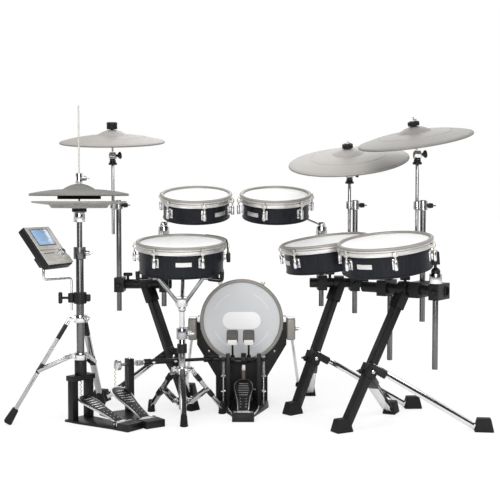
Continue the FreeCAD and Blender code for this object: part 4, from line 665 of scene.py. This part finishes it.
def strapParts():
    # the dark strap that runs along the snare's rim and down the far side
    strap = [(0.1668, angle, -0.0028) for angle in range(150, 78, -9)]
    strap += [(0.1688, 84, -0.008), (0.1705, 83, -0.022), (0.172, 83, -0.045), (0.1735, 83, -0.072)]
    line = [(radius * math.sin(math.radians(angle)), -radius * math.cos(math.radians(angle)), height)
            for radius, angle, height in strap]
    slide = block((12, 14, 34), (0, -0.1735, -0.06), 3, "plastic")
    return [wire(line, 0.0028, "plastic"), moved(slide, turn(83))]


for name, spec in drums.items():
    place = seat(spec)
    shell = allMoved(shellParts(name, spec), place)
    hoop = allMoved(hoopParts(spec), place)
    head = allMoved(headParts(name, spec), place)
    if "arm" in spec:
        isElse = (lambda centre, size, spec=spec: offArm(spec, centre))
        hoop.append(dressed(name + "_fittings", 0.0018, [(isElse, None)], spec["armTone"]))
    if name == "snare":
        hoop += allMoved(strapParts(), place)
    joined(shell, name + "_shell")
    joined(hoop, name + "_fittings")
    joined(head, name + "_head")
print("drums made")

# kick drum: plate stand and spurs

stand = [dressed("kick_stand", 0.0022, [], "powder", 3)]
for x, z in ((0.13, 0.2), (0.05, 0.045), (0.16, 0.29)):
    for side in (-1, 1):
        stand += screwHead((side * x, 0.0235, z), (0, -1, 0), 0.0045)
joined(stand, "kick_stand")
spurs = [dressed("kick_spurs", 0.0012, [
    (isKnob, None), (lambda centre, size: size.z < 0.03, None),
    (lambda centre, size: size.z > 0.08 and size.x < 0.04, None)], "chrome")]
for side in (-1, 1):
    spurs += [block((35.5, 69.5, 87.5), (side * 0.196, 0.059, 0.286), 7.5, "taupe", 4),
              block((30, 58, 4), (side * 0.196, 0.059, 0.3305), 1.5, "silver")]
    spurs += wingNut((side * 0.213, 0.054, 0.286), (side, 0, 0), 1.15)
    tip = turned(mm(0, 0, 8.5, 0, 11.8, 1.6, 12.8, 5, 11.2, 6.5, 12.2, 9, 10.8, 10.5, 11.6, 13, 9.8, 15.5,
                    8.8, 23.5, 0, 23.5), "rubber", 28)
    spurs.append(moved(tip, shift((side * 0.24, 0.329, 0))))
joined(spurs, "kick_spurs")
print("kick made")

# cymbal pads

cymbals = {
    "crash_left": {"radius": 0.203, "at": (-0.502, -0.033, 1.07), "tilt": 8, "tone": 0.78},
    "ride": {"radius": 0.2285, "at": (0.403, -0.1299, 0.9927), "tilt": 15, "roll": 5.7, "tone": 0.76},
    # crash_right's tone of 0.5 darkens the same pad colours as painted shade
    "crash_right": {"radius": 0.203, "at": (0.6105, -0.389, 1.0573), "tilt": 9.5, "roll": 9, "tone": 0.5},
}
padTones = (0.5, 0.475, 0.445), (0.41, 0.39, 0.365)
padEdge = ((-0.0008, 0.0042), (0, 0.0026), (-0.001, 0.0006))
bell = {"radius": 0.0575, "drop": 0.02}
padFall, hatFall, padThick, padDrop = 0.025, 0.016, 0.005, 0.0025
tilterDrop = 0.098


def padSeat(spec):
    return seat(spec) @ shift((0, 0, -padDrop))


def padHeight(radius, outer, fall):
    # the underside of a pad: a bell, then a bow that falls towards the edge
    if radius <= bell["radius"]:
        return -bell["drop"] * (radius / bell["radius"]) ** 2
    share = (radius - bell["radius"]) / (outer - bell["radius"])
    return -bell["drop"] - fall * (0.35 * share + 0.65 * share * share)


def padProfile(outer, fall, steps, groove, grooveEnd, edge, spare=0):
    # over the top with two grooves, around the edge and back below, where the outer rings can be spared
    rings = [0.0072, 0.02, 0.032, 0.042, 0.05, 0.0565, 0.0585]
    rings += [0.0585 + (outer - 0.0035 - 0.0585) * step / steps for step in range(1, steps + 1)]
    under = [(radius, padHeight(radius, outer, fall)) for radius in rings]
    over = []
    for index, (radius, height) in enumerate(under):
        over.append((radius, height + padThick))
        if index in (6, groove):
            over += offset(((0.0006, 0.0041), (0.0022, 0.0038), (0.0029, grooveEnd)), radius, height)
    return over + offset(edge, outer, padHeight(outer, outer, fall)) + under[::-1][spare:]


for name, spec in cymbals.items():
    place, outer = padSeat(spec), spec["radius"]
    light, dark = (tuple(spec["tone"] * value for value in tone) for tone in padTones)
    finishes[name] = finish(camel(name) + "Pad", light, dark, 0.5, 0, ("rings", 2100), 0.14, 0.35,
                            centre=place)
    pad = turned(padProfile(outer, padFall, 14, 13, 0.0046, padEdge), name, 112)
    rim = turned(offset(mm(-4.5, 1.2, -0.6, 2.2, 0.6, 0.8, 0.4, -1.2, -1.2, -2.4, -4.5, -2.2),
                        outer, padHeight(outer, outer, padFall)),
                 "padRim", 112)
    joined(allMoved((pad, rim), place), name, camel(name) + "Pad")
print("cymbals made")

# hi-hat pads, rod and clutch

hatLine = (-0.581, -0.33)
hatAxis, hatTop = shift((*hatLine, 0)), 0.854
hatEdge = mm(-0.8, 4.2, 0, 1.2, -0.6, -2.2, -3, -3.4, -7, -3.2, -9.5, -1)
# the top pad's colours are darkened below the other pads' as painted shade
finishes["hihat"] = finish("hihatPad", (0.195, 0.187, 0.176), (0.148, 0.143, 0.133), 0.5, 0, ("rings", 2100),
                           0.14, 0.35, centre=hatAxis)
finishes["hihatRim"] = finish("hihatLower", (0.3, 0.285, 0.265), (0.23, 0.22, 0.205), 0.48, 0,
                              ("rings", 1800), 0.14, 0.3, centre=hatAxis)
top = turned(padProfile(0.178, hatFall, 12, 12, 0.0044, hatEdge, 1), "hihat", 112)
stop = turned(mm(7.2, 833.5, 40, 833.5, 76.5, 822.5, 77.5, 821.2, 77.5, 804.5, 76.2, 803, 7.2, 803),
              "rubber", 72)
moved(top, shift((0, 0, hatTop)))
joined(allMoved((top, stop), hatAxis), "hihat_top_cymbal", "hihatTopPad")
dish = turned(mm(7.2, 771.2, 97, 771.2, 100.5, 772.4, 104, 778.2, 106.5, 781.5, 110, 783, 164, 789.5,
                 168.8, 791.2, 169.8, 793.5, 168.8, 795.8, 164, 796.2, 106, 787.2, 99, 784.6, 90, 778.2,
                 7.2, 776.2), "hihatRim", 96)
sensor = turned(mm(7.2, 776.4, 74.2, 777.5, 75, 778.5, 75, 785.2, 73.5, 786.5, 7.2, 786.5), "plastic", 64)
joined(allMoved((dish, sensor), hatAxis), "hihat_bottom_cymbal", "hihatLowerPad")
rod = turned(mm(0, 140.2, 3, 140.2, 3, 1136.8, 2.2, 1138, 0, 1138), "panel", 20)
clutch = turned(mm(3.1, 841.5, 12.2, 841.5, 12.8, 842.5, 12.8, 846, 6.8, 847.5, 6.8, 859.2, 12.8, 859.6,
                   13, 861, 13, 868, 10.8, 869.5, 10.8, 884, 12.8, 885.5, 12.8, 895, 11.5, 896.6, 3.1, 896.6),
                "chrome", 32)
wing = wingNut((-0.5695, -0.33, 0.878), (1, 0, 0), 1.15)
joined(allMoved((rod, clutch), hatAxis) + wing, "hihat_pull_rod", "hihatRod")
print("hi-hat pads made")

# pedals: footboards, beaters, springs, bases

boards = {
    "pedal": {"hinge": (0.008, -0.293, 0.02), "yaw": 0, "reach": 0.246,
              "pull": ((0.008, -0.0605, 0.1), (0.008, -0.0605, 0.186))},
    "slave": {"hinge": (-0.337, -0.398, 0.02), "yaw": 36, "reach": 0.243,
              "pull": ((-0.472, -0.212, 0.0995), (-0.472, -0.212, 0.186)), "chain": ("brass", 11)},
    "hihat": {"hinge": (-0.419, -0.452, 0.02), "yaw": 53, "reach": 0.212,
              "pull": ((-0.581, -0.33, 0.089), (-0.581, -0.33, 0.14)), "chain": ("steel", 7)},
}
boardSlope, boardLong = 19, 0.246
boardOutline = mm(21, 12, 22.5, 30, 23, 60, 25, 90, 29, 125, 34, 155, 37, 182, 36.8, 200, 34, 217, 28, 232,
                  20, 241.5, 12, 246)
strapBands = ((0.0, 0.42, "leather"), (0.42, 0.66, "silver"), (0.66, 1.0, "white"))


def makeBoard(spec):
    # a framed board with ribs, studs and a hinge barrel
    long = spec["reach"] / boardLong
    outline = [(half, y * long) for half, y in boardOutline]
    inner = [(half - 0.0032, 0.016 * long + (y - 0.012 * long) * 0.955) for half, y in outline]
    parts = [slab(mirrored(outline), -0.0032, 0.0032, 0.0012, "steel"),
             slab(mirrored(inner), -0.004, 0.0042, 0.0008, "plastic")]
    for step in range(6):
        wide, y = 34 + 4 * min(step, 5 - step), (0.122 + 0.017 * step) * long
        parts.append(block((wide, 3.4, 1.6), (0, y, 0.0046), 0.6, "steel"))
    for row in range(4):
        for side in (-1, 1):
            stud = turned(mm(0, 3.5, 2.6, 3.5, 2.6, 4.8, 1.6, 5.6, 0, 5.8), "steel", 12)
            parts.append(moved(stud, shift((side * 0.0105, (0.034 + 0.02 * row) * long, 0))))
    knuckle = turned(mm(3.2, -20.5, 7.2, -20.5, 7.8, -19.5, 7.8, 19.5, 7.2, 20.5, 3.2, 20.5), "steel", 28)
    tongue = block((40, 18, 6), (0, 0.0095, 0.0005), 1.2, "plastic")
    parts += [moved(knuckle, turn(90, "Y")), tongue]
    return allMoved(parts, shift(spec["hinge"]) @ turn(spec["yaw"]) @ turn(boardSlope, "X"))


def chainParts(start, end, tone, links):
    # a roller chain run of flat oval links
    step = (end - start) / links
    parts = []
    for index in range(links):
        link = slab(stadium(step.length * 1.35, 0.0052, 6), -0.0012, 0.0012, 0.0005, tone)
        moved(link, turn(90, "Y"))
        moved(link, shift((0.0022 if index % 2 else -0.0022, 0, step.length / 2)))
        parts.append(moved(link, aim(start + step * index, step)))
    return parts


for name, spec in boards.items():
    parts = makeBoard(spec)
    start, end = (Vector(point) for point in spec["pull"])
    if "chain" in spec:
        parts += chainParts(start, end, *spec["chain"])
    else:
        for low, high, tone in strapBands:
            middle = start.lerp(end, (low + high) / 2)
            parts.append(block((13.5, 2.6, 86 * (high - low)), middle, 0.7, tone))
    joined(parts, name + "_footboard", name + "Board")

axleY, axleZ, beaterLean = -0.085, 0.186, 39


def isBeater(centre, size):
    return size.y > 0.04 and size.z > 0.04 and 0.04 < size.x < 0.05


for side, x in (("right", 0.028), ("left", -0.034)):
    node = "pedal_beater_" + side
    cheeks = [block((5, 30, 18), (edge * 0.0194, 0, 0.118), 2, "felt") for edge in (-1, 1)]
    white = block((36, 34, 30), (0, 0, 0.109), 4, "white", 3)
    felt = block((43.5, 36, 27), (0, 0, 0.1345), 7.5, "felt", 4)
    beater = allMoved((*cheeks, white, felt), shift((x, axleY, axleZ)) @ turn(beaterLean, "X"))
    beater.insert(0, dressed(node, 0.0012, [(isBeater, None)], "powder"))
    joined(beater, node, side + "Beater")

coilTurns, coilSteps = 15, 10
springs = []
for x in (-0.069, 0.085):
    coil = []
    for index in range(coilTurns * coilSteps + 1):
        share = index / (coilTurns * coilSteps)
        angle = 2 * math.pi * coilTurns * share
        coil.append((x + 0.0048 * math.cos(angle), -0.111 + 0.0048 * math.sin(angle), 0.1205 + 0.059 * share))
    springs.append(wire(coil, 0.00125, "steel", sides=1))
joined(springs, "pedal_springs")


def isHeel(centre, size):
    return 0.012 < size.z < 0.02 and size.x > 0.05 and centre.z < 0.02 and centre.y < -0.2


def isPin(centre, size):
    return size.z < 0.008 and 0.015 < centre.z < 0.03


def isStud(centre, size):
    return size.x < 0.008 and size.y < 0.008


def baseParts(name, edge, *rules):
    # the dressed base, its tapered heel block and the bright hinge band, in the board's own direction
    x, y = boards[name]["hinge"][:2]
    heel = slab(mirrored(mm(26, -62, 34, -50, 38.5, -22, 38.5, -15.5)), 0.0085, 0.0175,
                0.003, "plastic", 3)
    band = block((74, 9, 13.5), (0, -0.0137, 0.0205), 2, "silver")
    base = dressed(name + "_base", edge, [(isHeel, None), (isPin, "chrome"), *rules], "powder")
    return [base] + allMoved((heel, band), shift((x, y, 0)) @ turn(boards[name]["yaw"]))


base = baseParts("pedal", 0.0016, (isStud, "steel"))
for x, way in ((-0.0605, -1), (0.0765, 1)):
    for z in (0.12, 0.06):
        base += wingNut((x, axleY, z), (way, 0, 0), 0.9)
    base += screwHead((x - way * 0.008, axleY, 0.2055), (0, 0, 1), 0.005)
    bend = mm(33, -297, 50, -240, 58, -140, 58, -95)
    base.append(wire([(0.008 + way * out, y, 0.012) for out, y in bend], 0.0034, "chrome"))
joined(base, "pedal_base")
base = baseParts("slave", 0.0016) + screwHead((-0.42, -0.2, 0.2055), (0, 0, 1), 0.006)
joined(base, "slave_base")
joined([dressed("slave_drive", 0.0016, [], "steel")], "slave_drive")
link = [dressed("pedal_linkage", 0.0014, [], "plastic")]
for x, y in ((-0.33, -0.1518), (-0.25, -0.1262)):
    link += wingNut((x, y - 0.008, axleZ), (0, -1, 0), 0.7)
joined(link, "pedal_linkage")
joined(baseParts("hihat", 0.0018), "hihat_base")
print("pedals made")

# stands: tubes, basket, hubs, folding legs with rubber feet

tripods = {
    "snare": {"bearings": (276, 22, 142), "sleeve": (25, 17), "bands": ((0.2, 30), (0.6, 30)),
              "full": 0.0016, "bareLeg": 1},
    "hihat": {"bearings": (196, 82), "sleeve": (22, 14), "bands": ((0.13, 60), (0.5, 40)),
              "full": 0.0004},
}
footUp, floorSlack, topSlack = Vector((0, 0, 0.0216)), 0.0005, 0.012


def ribbedFoot(at, radius=0.0148, tall=0.046, ribs=5):
    profile = [(0, 0), (radius - 0.003, 0), (radius - 0.0006, 0.0012)]
    step = (tall - 0.008) / ribs
    for rib in range(ribs):
        profile += offset(((0, 0.1 * step), (0, 0.55 * step), (-0.0017, 0.7 * step), (-0.0017, 0.95 * step)),
                          radius - 0.0007 * rib, 0.002 + step * rib)
    profile += [(radius - 0.0045, tall - 0.003), (radius - 0.006, tall), (0, tall)]
    return moved(turned(profile, "rubber", 28), shift(at))


def legBand(top, foot, share, size, side):
    # a sleeve around a flat leg at a share of its length
    run = (foot - top).normalized()
    sleeve = block(size, (0, 0, 0), 1.8, "plastic")
    return moved(sleeve, shift(top.lerp(foot, share)) @ axesFrame(side, side.cross(run), run))


def boot(foot, top, side):
    # a rounded rubber boot along the end of a leg, flat on the floor
    run = (top - foot).normalized()
    shape = block((34, 30, 62), (0, 0, 0.012), 7, "rubber", 4, 0.74)
    moved(shape, shift(foot) @ axesFrame(side, run.cross(side), run))
    for vertex in shape.data.vertices:
        vertex.co.z = max(vertex.co.z, 0.0004)
    return shape


def legEnds(node, bearing):
    # where a leg starts and stands, from its own points, and the way across it
    points = [vertex.co for vertex in nodes[node].data.vertices]
    peak = max(point.z for point in points)
    low = [point for point in points if point.z < floorSlack]
    high = [point for point in points if point.z > peak - topSlack]
    angle = math.radians(bearing)
    side = Vector((-math.sin(angle), math.cos(angle), 0))
    return sum(high, Vector()) / len(high), sum(low, Vector()) / len(low), side


def isRubber(centre, size):
    return centre.z < 0.025 and size.z < 0.04


for name, spec in tripods.items():
    for index, bearing in enumerate(spec["bearings"], 1):
        node = f"{name}_leg_{index}"
        top, ground, side = legEnds(node, bearing)
        foot = ground + footUp
        leg = [fattened(dressed(node, 0.0022, [(isRubber, None)], "legChrome", 3), spec["full"])]
        leg.append(boot(foot, top, side) if name == "hihat" else ribbedFoot(ground))
        if index != spec.get("bareLeg"):
            leg += [legBand(top, foot, share, (*spec["sleeve"], long), side) for share, long in spec["bands"]]
        joined(leg, node)
        node = f"{name}_brace_{index}"
        joined([dressed(node, 0.0011, [], "legChrome")], node)
    hub = [dressed(f"{name}_leg_hub", 0.0018, [], "chrome")]
    if name == "hihat":
        hub += wingNut((-0.5585, -0.346, 0.375), (0.0385, -0.026, 0), 1.1)
    joined(hub, f"{name}_leg_hub", name + "Hub")
tubes = [dressed("stand_tubes", 0.0013, [
    (isKnob, None),
    (lambda centre, size: centre.x < -0.55 and size.z > 0.2, "tube"),
    (lambda centre, size: centre.x > -0.3 and size.z > 0.1, "legChrome"),
    (lambda centre, size: size.x > 0.07 and 0.03 < size.z < 0.05 and centre.z > 0.4, None),
    (lambda centre, size: min(size.x, size.y) > 0.035 and 0.035 < size.z < 0.05, "plastic")], "chrome")]
rodLine, snareLine = (-0.612, -0.33), (-0.217, -0.2745)
tubes += [collarOn(hatLine, 0.0145, 0.0262, 0.7568, 0.7704, "rubber"),
          collarOn(hatLine, 0.0142, 0.0235, 0.4265, 0.4675, "plastic"),
          collarOn(rodLine, 0.0049, 0.0125, 0.43, 0.464, "plastic"),
          block((22, 17, 28), (-0.6, -0.33, 0.447), 3, "plastic"),
          block((18, 20, 26), (-0.5525, -0.33, 0.447), 4, "plastic"),
          block((30, 9, 9), (-0.636, -0.33, 0.447), 3, "plastic"),
          block((14, 16, 42), (-0.652, -0.33, 0.447), 5, "plastic", 3),
          collarOn(snareLine, 0.0132, 0.0182, 0.238, 0.272, "plastic"),
          collarOn(snareLine, 0.0132, 0.0165, 0.15, 0.164, "plastic")]
for spot in ((-0.559, -0.33, 0.609), (-0.196, -0.2745, 0.31)):
    tubes += wingNut(spot, (1, 0, 0), 1.2)
joined(tubes, "stand_tubes")


def isArm(centre, size):
    return max(size.x, size.y) > 0.055


arms = dressed("snare_basket", 0.0014, [(lambda centre, size: not isArm(centre, size), None)], "legChrome")
basket = [fattened(arms, 0.0016), dressed("snare_basket", 0.0014, [
    (isArm, None), (lambda centre, size: size.z < 0.016 and size.x < 0.04, "rubber")], "chrome")]
for angle in (-60, 60, 180):
    claw = wire([(0, -0.118, -0.1312), (0, -0.15, -0.1312), (0, -0.1725, -0.1312), (0, -0.1735, -0.112),
                 (0, -0.1738, -0.098)], 0.0078, "rubber")
    basket.append(moved(claw, seat(drums["snare"]) @ turn(angle)))
joined(basket, "snare_basket")
print("stands made")

# racks: legs, struts, bars, clamps, posts and boots

joined([dressed("rack_frames", 0.0032, [], "powder", 3)], "rack_frames")
grips = {"left": {"at": (-0.274, -0.071, 0.1965), "bar": (-0.376, 0.025, 0.468),
                  "main": (-0.2, -0.14), "from": ((-0.3, -0.05), (-0.25, 0)),
                  "feet": ((-0.557, 0.03, 0.003), (-0.216, 0.15, 0.003))},
         "middle": {"at": (0.2725, -0.1505, 0.2015), "bar": (0.378, -0.06, 0.48),
                    "main": (0.196, -0.216), "from": ((0.3, -0.13), (0.27, -0.12)),
                    "feet": ((0.655, -0.11, 0.003), (0.278, 0.145, 0.003))},
         "right": {"at": (0.45, -0.4535, 0.203), "bar": (0.582, -0.38, 0.484),
                   "main": (0.354, -0.507), "from": ((0.48, -0.45), (0.45, -0.45)),
                   "feet": ((0.839, -0.5, 0.003), (0.562, -0.205, 0.003))}}
strutLifts = (0.019, -0.0245)
strapReach, strapShort, strapSlim = 0.085, 0.5, 0.92


def strutFrame(start, end):
    # across towards the viewer, up and along a strut
    run = (Vector(end) - start).normalized()
    side = Vector((0, 0, 1)).cross(run).normalized()
    if side.y > 0:
        side = -side
    rise = run.cross(side)
    if rise.z < 0:
        rise = -rise
    return shift(start) @ axesFrame(side, rise, run)


def strutLines(grip):
    return [(Vector(grip["at"]) + Vector((0, 0, lift)), foot) for lift, foot in zip(strutLifts, grip["feet"])]


struts = [dressed("rack_struts", 0.0028, [], "chrome", 3)]
for grip in grips.values():
    # a thin black strip along the upper half of each strut's near face: painted shade that stands for a slot
    for start, foot in strutLines(grip):
        long = (Vector(foot) - start).length - 0.06
        strip = block((1.4, 6.6, 1000 * long), (0.0151, 0.0048, long / 2 + 0.022), 0.4, "powder")
        struts.append(moved(strip, strutFrame(start, foot)))
joined(struts, "rack_struts")
knobSpots = (((-0.304, -0.038, 0.468), (0, -1, 0)), ((0.313, 0.003, 0.48), (0, 1, 0)),
             ((0.5545, -0.283, 0.484), (0.6, 0.8, 0)), ((0.659, -0.5205, 0.484), (-0.6, -0.8, 0)),
             ((-0.48, -0.038, 0.468), (0, -1, 0)), ((-0.461, -0.019, 0.78), (1, 0, 0)),
             ((0.435, -0.123, 0.48), (0, -1, 0)), ((0.454, -0.104, 0.78), (1, 0, 0)),
             ((0.66, -0.3555, 0.484), (0.57, 0.82, 0)), ((0.667, -0.3725, 0.78), (1, 0, 0)))
clamps = [dressed("rack_clamps", 0.0026, [
    (isKnob, None), (lambda centre, size: centre.z > 0.7, None),
    (lambda centre, size: centre.z > 0.51 and size.z < 0.04, "chrome")], "plastic", 3)]
# the clamps on the legs are short straps with a bolt and a wing
for grip in grips.values():
    at = Vector(grip["at"])
    along = (Vector(grip["bar"]) - at).normalized()
    for vertex in clamps[0].data.vertices:
        away = vertex.co - at
        if away.length < strapReach:
            height = away.dot(along) * along
            vertex.co = at + height * strapShort + (away - height) * strapSlim
    for start, foot in strutLines(grip):
        ear = block((37, 27.5, 82), (0, 0, 0.028), 4, "plastic", 3)
        clamps.append(moved(ear, strutFrame(start, foot)))
    clamps += screwHead(at + Vector((0.012, -0.026, 0)), (0, -1, 0), 0.0075)
    clamps += wingNut(at + Vector((-0.024, -0.006, 0)), (-1, 0, 0), 1.0, "plastic")
# each cymbal rod is held by two barrels
for (x, y), rodX in (((-0.48, -0.019), -0.502), ((0.435, -0.104), 0.413), ((0.648, -0.373), 0.6265)):
    clamps += [collarOn((x, y), 0.0101, 0.0165, 0.763, 0.798, "chrome"),
               collarOn((rodX, y), 0.0064, 0.0125, 0.766, 0.795, "chrome"),
               block((16, 17, 20), ((x + rodX) / 2, y, 0.7805), 3, "chrome"),
               block((12, 12, 12), (x + 0.019, y, 0.7805), 3, "plastic")]
for spot in ((-0.451, 0.025, 0.486), (0.343, -0.06, 0.498), (0.585, -0.381, 0.502)):
    stem = turned(mm(0, 0, 5.5, 0, 5.5, 16, 0, 16), "plastic", 16)
    grasp = block((36, 13, 14), (0, 0, 0.02), 4, "plastic", 3)
    clamps += allMoved((stem, grasp), shift(spot))
for spot, way in knobSpots:
    clamps += wingNut(spot, way, 1.2, "plastic")
joined(clamps, "rack_clamps")


def cymbalMount(name, spec):
    # felts and cap on the pin, and the tilter ring below them with its wing
    place = padSeat(spec)
    under = turned(mm(4.2, -16.8, 17.8, -16.8, 18.8, -15.5, 18.6, -7.8, 16.5, -6, 9, -3.6, 4.2, -3.4),
                   "felt", 32)
    over = turned(mm(4.2, 6.5, 19.5, 6.8, 20.5, 8, 20.5, 19.5, 19.2, 21, 4.2, 21), "rubber", 36)
    parts = [under, over]
    if name == "crash_left":
        parts.append(turned(mm(0, 20.5, 18.5, 20.5, 19.8, 22, 19.6, 32.2, 18, 33.8, 0, 34.2), "plastic", 36))
        for angle in range(0, 360, 36):
            flute = block((3, 2.2, 10.5), (0, -0.0196, 0.0274), 0.7, "plastic")
            parts.append(moved(flute, turn(angle)))
    else:
        parts.append(turned(mm(0, 20.8, 8.5, 20.8, 9, 22.2, 8.8, 26.8, 6.8, 28.2, 4.8, 29.2, 4.6, 36.2,
                               3.6, 37.2, 0, 37.2), "chrome", 24))
        parts.append(block((24, 4.2, 10), (0, 0, 0.0262), 1.6, "chrome"))
    ring = turned(mm(6.4, -12.5, 14.2, -12.5, 16, -10.5, 16, 10.5, 14.2, 12.5, 6.4, 12.5), "chrome", 32)
    core = turned(mm(0, -13.8, 10.5, -13.8, 10.5, 13.8, 0, 13.8), "plastic", 6)
    allMoved((ring, core), turn(90, "Y"))
    collar = turned(mm(6.4, -34, 14.5, -34, 16.5, -32.5, 16.5, -26.2, 12.5, -24.5, 12.5, -16.5, 6.4, -16.5),
                    "plastic", 32)
    grip = slab(mm(0, -4, 7, -5, 12, -11, 19, -13, 23.5, -7, 22.5, 6, 18, 15.5, 11, 14.5, 6, 5, 0, 4),
                -0.003, 0.003, 0.0018, "plastic")
    moved(grip, shift((0.0125, 0, 0.002)) @ turn(90, "X"))
    tilter = allMoved((ring, core, collar, grip), shift(place @ Vector((0, 0, -tilterDrop))))
    return allMoved(parts, place) + tilter


posts = [dressed("rack_posts", 0.0012, [
    (isKnob, None), (lambda centre, size: size.z > 0.25 and size.x > 0.018, "tube"),
    (lambda centre, size: size.z < 0.045 and size.y > 0.03, None)], "legChrome")]
for name, spec in cymbals.items():
    posts += cymbalMount(name, spec)
joined(posts, "rack_posts")
# each boot stands at a foot and points away from where its leg comes from
boots = []
for grip in grips.values():
    for start, foot in zip((grip["bar"], *grip["from"]), (grip["main"], *grip["feet"])):
        wedge = block((68, 50, 46), (0.004, 0, 0.0232), 4, "rubber", 3, 0.7)
        sole = block((64, 47, 3), (0.004, 0, 0.0016), 1, "plastic")
        angle = math.degrees(math.atan2(foot[1] - start[1], foot[0] - start[0]))
        boots += allMoved((wedge, sole), shift((*foot[:2], 0)) @ turn(angle))
joined(boots, "rack_feet", "rackBoots")
print("racks made")

# sound module

modulePlace = shift((-0.672, -0.43, 0.642)) @ turn(68) @ turn(52, "X")
knobPlace = shift((0.046, -0.034, 0))
case = [block((158, 166, 30), (0, 0, -0.016), 6, "plastic", 4),
        block((40, 40, 40), (0, -0.028, -0.051), 3, "plastic")]
joined(allMoved(case, modulePlace), "module_case")
collar = turned(mm(11.8, 0.8, 15.5, 0.8, 15.5, 2, 14.5, 2.8, 11.8, 2.8), "silver", 40)
panel = [block((151, 159, 3), (0, 0, -0.0006), 1.2, "panel"),
         block((106, 70, 2.2), (-0.006, 0.034, 0.0012), 0.8, "panelDark"),
         block((100, 64, 1.6), (-0.006, 0.034, 0.0019), 0.5, "screen"),
         block((145, 1.4, 1.2), (0, -0.0195, 0.0012), 0.3, "panelDark"),
         block((155, 34, 5), (0, -0.0645, 0.0012), 2.2, "panel"),
         block((60, 3, 1.6), (-0.03, -0.034, 0.0014), 0.6, "panelDark"),
         moved(collar, knobPlace)]
joined(allMoved(panel, modulePlace), "module_panel")
dial = turned(mm(0, 1.2, 9.8, 1.2, 11, 2.2, 10.8, 10.5, 9.8, 13.2, 8.5, 13.8, 7.8, 13.1, 0, 13.1),
              "chrome", 40)
notch = block((1.2, 6, 0.6), (0, 0.006, 0.0134), 0.2, "plastic")
joined(allMoved((dial, notch), modulePlace @ knobPlace), "module_knob")
joined([dressed("module_rod", 0.001, [], "chrome")], "module_rod")
print("module made")
